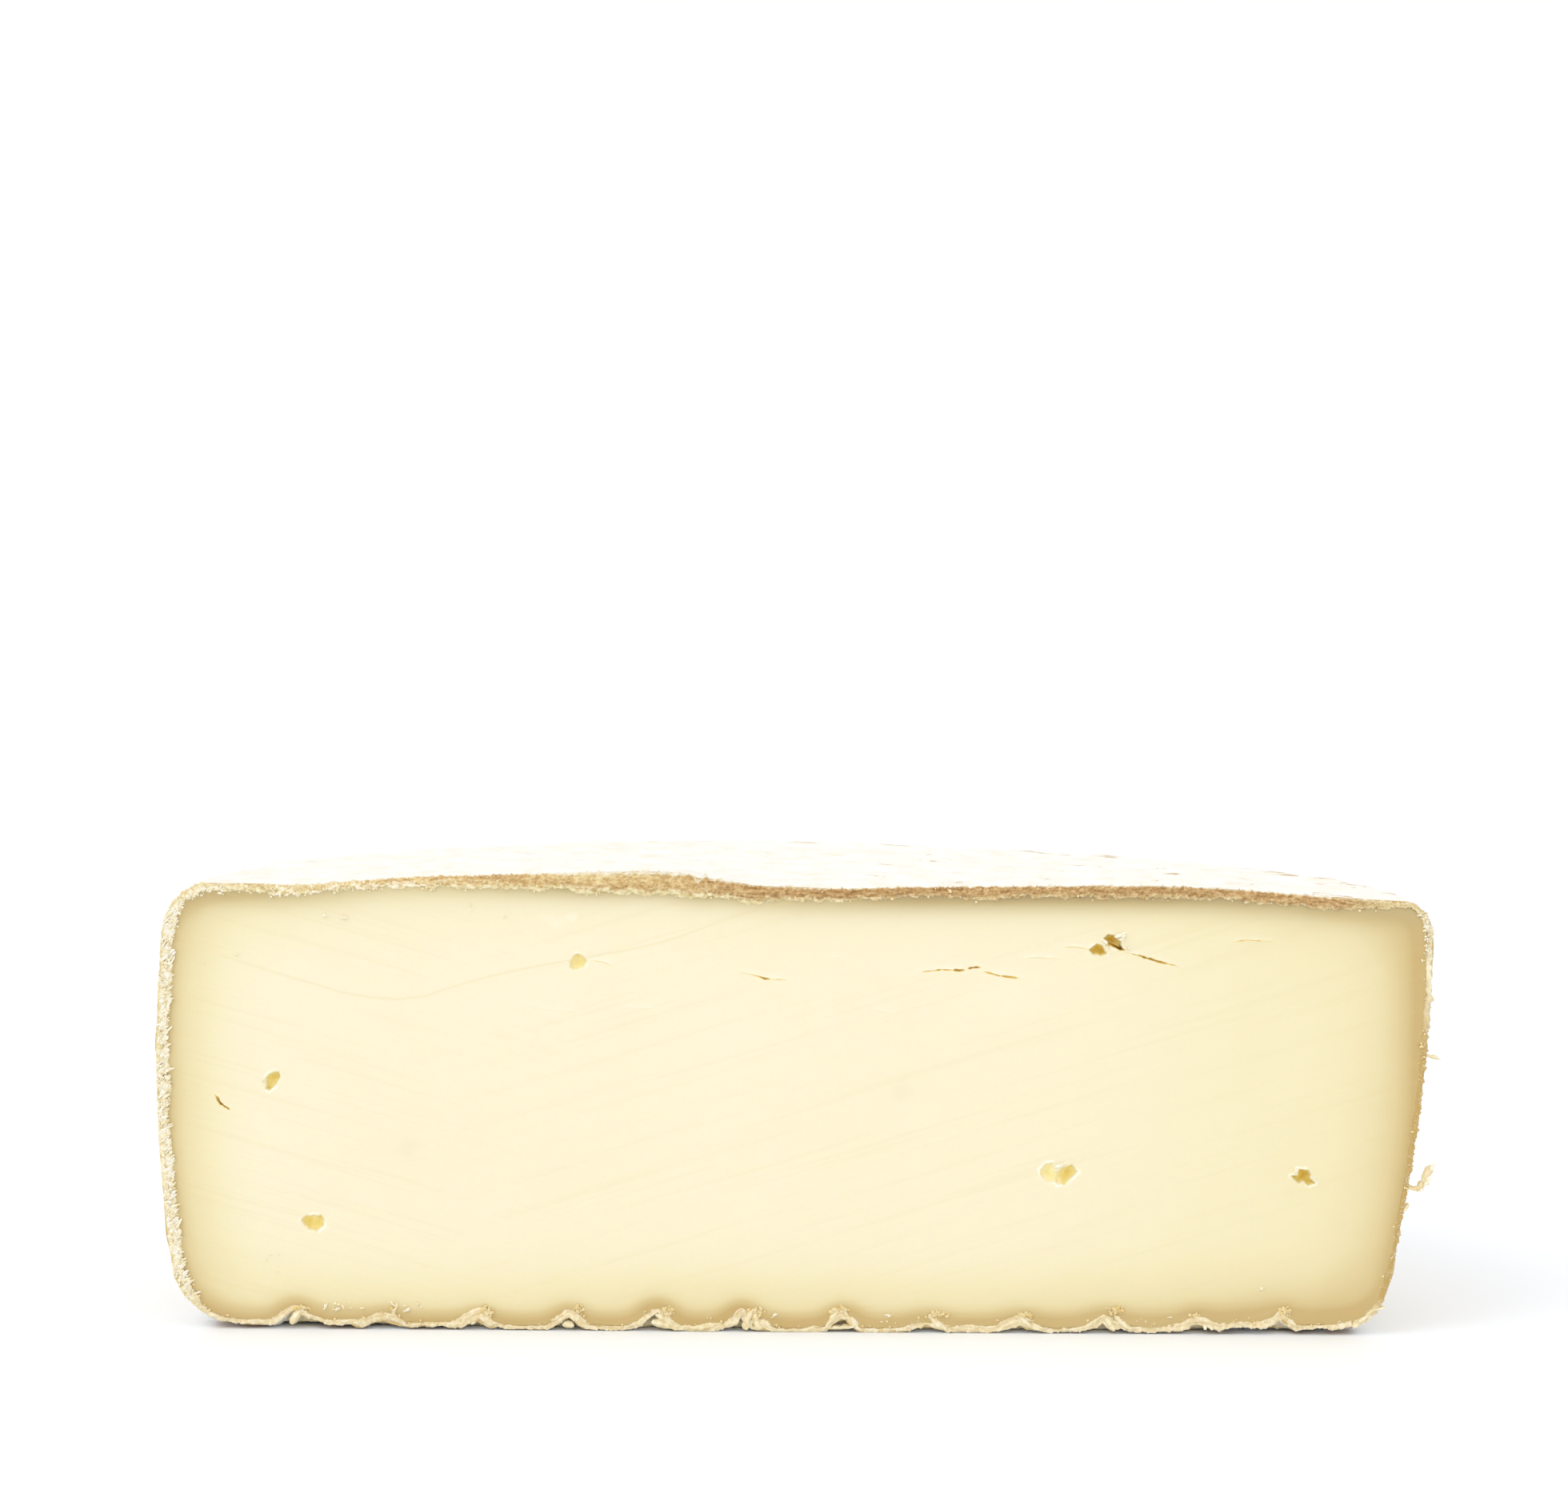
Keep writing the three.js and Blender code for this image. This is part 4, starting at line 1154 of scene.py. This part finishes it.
crumbs = makeCrumbs()
rindFolds = makeFolds()
rindFlakes = makeFlakes()
hairs = makeHairs()
for piece in (crumbs, rindFolds, rindFlakes, hairs):
    print(piece.name, len(piece.data.polygons), "faces")


# Cheese paste, cut with a wet knife: smooth and a little waxy, so the light sinks in and comes out
# warmer in hollows and towards the rind, and the knife's strokes show as faint lines.
pasteSurface = {
    "Roughness": 0.46, "IOR": 1.45, "Specular IOR Level": 0.35,
    "Subsurface Weight": 0.22, "Subsurface Radius": (1.0, 0.62, 0.3), "Subsurface Scale": 1.6 * mm,
}
pasteColours = {
    "ripening": [(0.0, "#EEE5C9"), (0.2, "#E8DDB4"), (0.42, "#DFD0A1"), (0.62, "#D0BA83"), (1.0, "#BE9F60")],
    "eyes": [(0.0, "#F4E9C2"), (0.22, "#F0E1A2"), (0.42, "#E9CF70"), (0.64, "#E1BC4E")],  # rim to bottom
    # the splits: golden paste in the cracks, deepening to brown as painted shade
    "splits": [(0.25, "#E5CF84"), (0.6, "#D0A94C"), (0.85, "#A37E34"), (1.0, "#7A5B26")],
    # painted shade under the top rind in two depths; warm patches; knife strokes; and the lips' painted
    # highlight
    "underRindShade": "#B49D69", "darkestShade": "#8C7242", "warm": "#E7DDB6", "strokes": "#D8C68C", "lips": "#FFFCF2",
}


def pasteMaterial():
    material, add = newMaterial("semiSoftPaste")
    look = pasteColours
    place = inMillimetres(add)
    ripe, shaded, stroke, hollow, depth, slitAndShade, lip = (
        add("Attribute", output="Fac", attribute_name=name)
        for name in ("ripeness", "shaded", "stroke", "hollow", "depth", "slitAndShade", "lip"))
    mottle = add("TexNoise", {"Vector": place, "Scale": 1 / 9, "Detail": 3})
    mottle = add("Math", [mottle, 0.06, -0.03], operation="MULTIPLY_ADD")
    colour = add("ValToRGB", [add("Math", [ripe, mottle], operation="ADD")], look["ripening"])
    # painted shade: deeper still where the band under the top rind is strongest
    deepShade = add("MapRange", [shaded, 0.95, 1.6, 0, 0.85])
    warm = add("TexNoise", {"Vector": place, "Scale": 1 / 45})
    left = inMillimetres(add, (1 / 60, 1, 1 / 1.2), (0, math.radians(pasteSize["strokeTurn"][0]), 0))
    right = inMillimetres(add, (1 / 70, 1, 1 / 1.5), (0, math.radians(pasteSize["strokeTurn"][1]), 0))
    left, right = (
        add("TexNoise", {"Vector": run, "Scale": 1, "Detail": 3, "Roughness": 0.6}) for run in (left, right))
    isRight = add("MapRange", [add("SeparateXYZ", [place]), -70, -30, 0, 1])
    strokes = add("MixRGB", [isRight, left, right])
    lines = add("ValToRGB", [strokes], [(0.36, 1.0), (0.46, 0.0)])
    lines = add("Math", [lines, 0.09], operation="MULTIPLY")
    stroke = add("Math", [stroke, 0.28], operation="MULTIPLY")
    lines = add("Math", [lines, stroke], operation="ADD")
    # over the ripened paste: painted shade under the top rind, warmth and strokes, the eyes, the splits with
    # their painted shade, and the lips' painted highlight
    colour = coats(add, colour, (shaded, 1, look["underRindShade"]), (deepShade, 1, look["darkestShade"]),
                   (warm, 0.35, look["warm"]), (lines, 1, look["strokes"]),
                   (hollow, 1, add("ValToRGB", [depth], look["eyes"])),
                   (slitAndShade, 2.2, add("ValToRGB", [slitAndShade], look["splits"])), (lip, 0.75, look["lips"]))
    fine = add("TexNoise", {"Vector": place, "Scale": 1 / 0.5})
    fine = add("Math", [fine, 0.12], operation="MULTIPLY")
    coarse = add("Math", [strokes, 0.8], operation="MULTIPLY")
    finishMaterial(add, colour, add("Math", [coarse, fine], operation="ADD"), 0.09, pasteSurface)
    return material


# Washed and mould-ripened skin: velvety white bloom over buff cheese, worn to brown on the crests
# between the slats, printed with cheesecloth, so it stays matt and mottled.
rindSurface = {
    "Roughness": 0.82, "IOR": 1.45, "Specular IOR Level": 0.25, "Sheen Weight": 0.12, "Sheen Roughness": 0.5,
    "Subsurface Weight": 0.08, "Subsurface Radius": (1.0, 0.7, 0.45), "Subsurface Scale": 0.8 * mm,
}
rindColours = {
    "wall": [(0.30, "#D9BF85"), (0.45, "#E2CFA2"), (0.56, "#EADEC0"), (0.72, "#F2ECDF")],
    "flat": [(0.30, "#F1EBDC"), (0.5, "#F8F5EC"), (0.7, "#FBFAF6")],
    "worn": [(0.35, "#B98C58"), (0.6, "#D3AE7C")],
    # the grooves' near-white is their white bloom with painted light against the shade in them
    "wallPatches": "#E6CF9C", "dashes": "#BF9648", "grooves": "#F6F3EE", "grey": "#D9D2CE",
    "specks": "#9A7A52", "cutEdge": "#D3B982",
}
clothThread = 1.0  # mm, cheesecloth of 0.7 mm drawn this coarse so that it shows


def rindMaterial():
    material, add = newMaterial("bloomyRind")
    look = rindColours
    place = inMillimetres(add)
    x, y, z = add("SeparateXYZ", [place]).node.outputs
    depth = add("Math", [y, cutPlane], operation="SUBTRACT")
    arc = add("Math", [depth, x], operation="ARCTAN2")
    arc = add("Math", [arc, wheelRadius], operation="MULTIPLY")
    up, down, crest = (
        add("Attribute", output="Fac", attribute_name=name) for name in ("topSide", "underSide", "crest"))
    flat = add("Math", [up, down], operation="ADD")

    streaks = add("Mapping", {"Vector": add("CombineXYZ", {"X": arc, "Z": z}), "Scale": (0.25, 1, 1)})
    bloom = add("TexNoise", {"Vector": streaks, "Scale": 1 / 3.2, "Detail": 4, "Roughness": 0.62})
    patches = add("TexNoise", {"Vector": place, "Scale": 1 / 24, "Detail": 3})
    patches = add("ValToRGB", [patches], [(0.42, 0.0), (0.62, 0.7)])
    wall = add("MixRGB", [patches, add("ValToRGB", [bloom], look["wall"]), look["wallPatches"]])
    base = add("TexNoise", {"Vector": place, "Scale": 1 / 6, "Detail": 4, "Roughness": 0.6})
    base = add("ValToRGB", [base], look["flat"])

    cross = inMillimetres(add, turn=(0, 0, math.radians(rindBody["creaseTurn"])))
    cross = add("SeparateXYZ", [cross]).node.outputs["Y"]
    cross = add("Math", [cross, 2 * math.pi / rindBody["creaseGap"]], operation="MULTIPLY")
    cross = add("Math", [cross], operation="SINE")
    patch = add("TexNoise", {"Vector": place, "Scale": 1 / 5, "Detail": 3, "Roughness": 0.6})
    patch = add("Math", [crest, 1.3, patch], operation="MULTIPLY_ADD")
    patch = add("Math", [cross, 0.35, patch], operation="MULTIPLY_ADD")
    wide = add("TexNoise", {"Vector": place, "Scale": 1 / 26})
    wide = add("Math", [wide, 1.6, -0.8], operation="MULTIPLY_ADD")
    patch = add("Math", [patch, wide], operation="ADD")
    thread = inMillimetres(add, (1, 0.12, 1), (0, 0, math.radians(20)))
    thread = add("TexNoise", {"Vector": thread, "Scale": 1 / 0.8, "Roughness": 0.7})
    threads = add("Math", [thread, 0.7, -0.35], operation="MULTIPLY_ADD")
    patch = add("Math", [patch, threads], operation="ADD")
    patch = add("Math", [patch, 0.5], operation="MULTIPLY")

    thin = add("TexNoise", {"Vector": inMillimetres(add, (0.2, 1, 1)), "Scale": 1 / 1.5})
    thin = add("ValToRGB", [thin], [(0.47, 0.0), (0.58, 1.0)])
    toRight = add("MapRange", [x, -25, 30, 0.1, 1])
    dashes = add("ValToRGB", [patch], [(0.62, 0.0), (0.70, 0.7)])
    for share in (thin, toRight, up):
        dashes = add("Math", [dashes, share], operation="MULTIPLY")
    worn = add("ValToRGB", [patch], [(0.46, 0.0), (0.66, 1.0)])
    worn = add("Math", [worn, add("Math", [down, 0.9], operation="MULTIPLY")], operation="MULTIPLY")
    worn = add("Math", [dashes, worn], operation="ADD")
    brown = add("MixRGB", [up, add("ValToRGB", [thread], look["worn"]), look["dashes"]])

    # the hollows of the slats are painted near-white: their white bloom, lightened further as painted light
    # against the shade in them
    groove = add("Math", [crest, -0.8, 0.1], operation="MULTIPLY_ADD")
    groove = add("ValToRGB", [groove], [(0.25, 0.0), (0.7, 0.9)])
    grey = add("TexNoise", {"Vector": place, "Scale": 1 / 12, "Detail": 3})
    grey = add("ValToRGB", [grey], [(0.56, 0.0), (0.7, 0.35)])
    specks = add("TexNoise", {"Vector": place, "Scale": 1 / 1.6, "Detail": 1})
    specks = add("ValToRGB", [specks], [(0.80, 0.0), (0.84, 0.6)])
    cutEdge = add("MapRange", [depth, 0.17, 0.27, 1, 0])
    colour = coats(add, wall, (flat, 1, base), (worn, 1, brown), (groove, flat, look["grooves"]),
                   (grey, down, look["grey"]), (specks, 1, look["specks"]), (cutEdge, 1, look["cutEdge"]))

    waves = []
    for way in (arc, z, x, y):
        wave = add("Math", [way, 2 * math.pi / clothThread], operation="MULTIPLY")
        waves.append(add("Math", [wave], operation="SINE"))
    onWall = add("Math", waves[:2], operation="MULTIPLY")
    onFlat = add("Math", waves[2:], operation="MULTIPLY")
    printed = add("TexNoise", {"Vector": place, "Scale": 1 / 8})
    printed = add("ValToRGB", [printed], [(0.35, 0.1), (0.65, 0.6)])
    cloth = add("Math", [add("MixRGB", [flat, onWall, onFlat]), printed], operation="MULTIPLY")
    cloth = add("Math", [cloth, 0.4], operation="MULTIPLY")
    height = add("TexNoise", {"Vector": place, "Scale": 1 / 0.7, "Detail": 4, "Roughness": 0.65})
    height = add("Math", [height, 1.6, cloth], operation="MULTIPLY_ADD")
    finishMaterial(add, colour, height, 0.22, rindSurface)
    return material


# The rind where the knife tore it: dry brown fibres along the skin, and cream crumbs of ripened
# paste along their inner side, so it looks like rough bark and catches the light.
tornSurface = {
    "Roughness": 0.78, "IOR": 1.45, "Specular IOR Level": 0.25,
    "Subsurface Weight": 0.10, "Subsurface Radius": (1.0, 0.65, 0.35), "Subsurface Scale": 0.8 * mm,
}
tornColours = {
    "cream": [(0.2, "#D3C08A"), (0.5, "#E2D3A0"), (0.8, "#EFE4BC")],
    "buff": [(0.2, "#B9925B"), (0.42, "#CFAC74"), (0.6, "#DFC48B"), (0.85, "#EFDDAC")],
    "brown": [(0.2, "#997242"), (0.42, "#B18A57"), (0.6, "#C49F6B"), (0.85, "#DCC08C")],
    "outside": [(0.35, "#E2D2AE"), (0.6, "#EEE8DA")],
    "ripe": "#C2A466", "under": "#F0DDBC", "crumbs": "#F9F0D6",
}


def tornMaterial():
    material, add = newMaterial("tornDryRind")
    look = tornColours
    place = inMillimetres(add)
    long, short = (mapUnit / size for size in tornEdge["fibre"])
    fibres = add("Mapping", {"Vector": add("UVMap", uv_map="alongRind"), "Scale": (long, short, 1)})
    fibres = add("TexNoise", {"Vector": fibres, "Scale": 1.0, "Detail": 3.0, "Roughness": 0.65})
    bark, toasted, ripe, under, crumb, skin, hollowShadeAndTone = (
        add("Attribute", output="Fac", attribute_name=name)
        for name in ("bark", "toasted", "ripe", "under", "crumb", "skin", "hollowShadeAndTone"))
    # painted shade from the torn rind's relief, with the fibres over it, picks the tones
    hollowShadeAndTone = add("Math", [hollowShadeAndTone, 0.7, -0.2], operation="MULTIPLY_ADD")
    hollowShadeAndTone = add("Math", [fibres, 0.7, hollowShadeAndTone], operation="MULTIPLY_ADD")
    cream, buff, brown = (add("ValToRGB", [hollowShadeAndTone], look[name]) for name in ("cream", "buff", "brown"))
    brown = add("MixRGB", [toasted, buff, brown])
    outside = add("TexNoise", {"Vector": place, "Scale": 1 / 1.5, "Detail": 3})
    outside = add("ValToRGB", [outside], look["outside"])
    colour = coats(add, cream, (bark, 1, brown), (ripe, 1, look["ripe"]), (under, 0.40, look["under"]),
                   (crumb, 0.85, look["crumbs"]), (skin, 1, outside))
    grit = add("TexNoise", {"Vector": place, "Scale": 1 / 0.35, "Detail": 3})
    grit = add("Math", [grit, 0.6], operation="MULTIPLY")
    height = add("Math", [fibres, 0.8, grit], operation="MULTIPLY_ADD")
    finishMaterial(add, colour, height, 0.16, tornSurface)
    return material


# Dried crumbs of paste and mould: opaque and chalky, nearly white on their upper sides.
crumbSurface = {
    "Roughness": 0.8, "IOR": 1.45, "Specular IOR Level": 0.25,
    "Subsurface Weight": 0.15, "Subsurface Radius": (1.0, 0.7, 0.4), "Subsurface Scale": 0.6 * mm,
}


def crumbMaterial(name, pale, deepTone, golden):
    material, add = newMaterial(name)
    place = inMillimetres(add)
    blotches = add("TexNoise", {"Vector": place, "Scale": 1 / 0.9, "Detail": 3, "Roughness": 0.6})
    colour = add("ValToRGB", [blotches], [(0.34, deepTone), (0.62, pale)])
    isGolden = add("Attribute", output="Fac", attribute_name="golden")
    grit = add("TexNoise", {"Vector": place, "Scale": 1 / 0.3, "Detail": 3})
    finishMaterial(add, add("MixRGB", [isGolden, colour, golden]), grit, 0.08, crumbSurface)
    return material


# Tongues of rind that hang from the grooves' crests: pale skin outside, golden paste inside.
foldSurface = {
    "Roughness": 0.75, "IOR": 1.45, "Specular IOR Level": 0.25,
    "Subsurface Weight": 0.12, "Subsurface Radius": (1.0, 0.65, 0.4), "Subsurface Scale": 0.8 * mm,
}
foldColours = {  # size of its blotches in mm, then the tones
    "skin": (1.1, [(0.32, "#DFCC9C"), (0.5, "#EDE0BA"), (0.68, "#F8F2DB")]),
    "paste": (0.8, [(0.34, "#D9B97A"), (0.52, "#E6CE97"), (0.7, "#F1E4BC")]),
}


def foldMaterial():
    material, add = newMaterial("tornRindFolds")
    place = inMillimetres(add)
    sides = []
    for size, tones in foldColours.values():
        blotches = add("TexNoise", {"Vector": place, "Scale": 1 / size, "Detail": 3, "Roughness": 0.6})
        sides.append(add("ValToRGB", [blotches], tones))
    isGolden = add("Attribute", output="Fac", attribute_name="golden")
    grit = add("TexNoise", {"Vector": place, "Scale": 1 / 0.35, "Detail": 3})
    finishMaterial(add, add("MixRGB", [isGolden, *sides]), grit, 0.1, foldSurface)
    return material


outward, crest, up, down = facing(rind)
storeOnPoints(rind, "topSide", up)
storeOnPoints(rind, "underSide", down)
storeOnPoints(rind, "crest", crest * smoothStep(0.9, 0.985, abs(outward[:, 2])))
dress(rind, rindMaterial())
dress(paste, pasteMaterial())
tornDryRind = tornMaterial()
dress(tornTop, tornDryRind)
dress(tornWall, tornDryRind)
dress(crumbs, crumbMaterial("driedCurdCrumbs", "#F9F0D8", "#E8D6A6", "#E2C47A"))
dress(rindFolds, foldMaterial())
dress(rindFlakes, crumbMaterial("dryPasteFlakes", "#FFFAEC", "#EFE0B6", "#E0C283"))
dress(hairs, crumbMaterial("whiteMouldHairs", "#FFF9E8", "#EFE0BC", "#9C7440"))
print("materials done")


# Floor, light and camera.
studio = {
    "floor": "#F6F9FF", "floorRoughness": 0.6,
    "world": 1.03, "front": 0.19, "left": 0.10,  # the room is brighter in front of the cut and to its left
    "sun": 0.45, "sunWidth": 35, "sunFrom": (-0.55, -0.45, 0.75),  # watts per square metre, degrees
}


bpy.ops.object.select_all(action="DESELECT")
bpy.ops.mesh.primitive_plane_add(size=40)
floor = nameIt(bpy.context.object, "table_top")
floorMaterial, add = newMaterial("whiteLacqueredBoard")
floorShader = add("BsdfPrincipled", {"Base Color": studio["floor"], "Roughness": studio["floorRoughness"]})
add("OutputMaterial", {"Surface": floorShader})
floor.data.materials.append(floorMaterial)

world = bpy.data.worlds.new("softStudio")
bpy.context.scene.world = world
world.use_nodes = True
sky = world.node_tree
toward = addNode(sky, "SeparateXYZ", [addNode(sky, "TexCoord")]).node.outputs
sides = []
for way, more in ((toward["Y"], studio["front"]), (toward["X"], studio["left"])):
    side = addNode(sky, "Math", [way, -1.0], operation="MULTIPLY")
    side = addNode(sky, "Math", [side, 0.0], operation="MAXIMUM")
    sides.append(addNode(sky, "Math", [side, more], operation="MULTIPLY"))
strength = addNode(sky, "Math", sides, operation="ADD")
strength = addNode(sky, "Math", [strength, studio["world"]], operation="ADD")
background = sky.nodes["Background"].inputs
background["Color"].default_value = (1, 1, 1, 1)
sky.links.new(strength, background["Strength"])

windowLight = bpy.data.lights.new("windowLight", "SUN")
windowLight.energy = studio["sun"]
windowLight.angle = math.radians(studio["sunWidth"])
lampHolder = bpy.data.objects.new("windowLight", windowLight)
lampHolder.location = studio["sunFrom"]
lampHolder.rotation_euler = (-lampHolder.location).to_track_quat("-Z", "Y").to_euler()
bpy.context.collection.objects.link(lampHolder)

cameraView = {"place": (-1.95, -755, 145), "pitch": 3.66, "roll": 0.355, "lens": 93.73, "sensor": 36}
camera = bpy.data.objects.new("camera", bpy.data.cameras.new("camera"))
bpy.context.collection.objects.link(camera)
turn = Matrix.Rotation(math.radians(90 - cameraView["pitch"]), 4, "X")
turn = turn @ Matrix.Rotation(math.radians(cameraView["roll"]), 4, "Z")
camera.matrix_world = Matrix.Translation([v * mm for v in cameraView["place"]]) @ turn
camera.data.lens = cameraView["lens"]
camera.data.sensor_width = cameraView["sensor"]
bpy.context.scene.camera = camera
bpy.context.scene.view_settings.view_transform = "Standard"
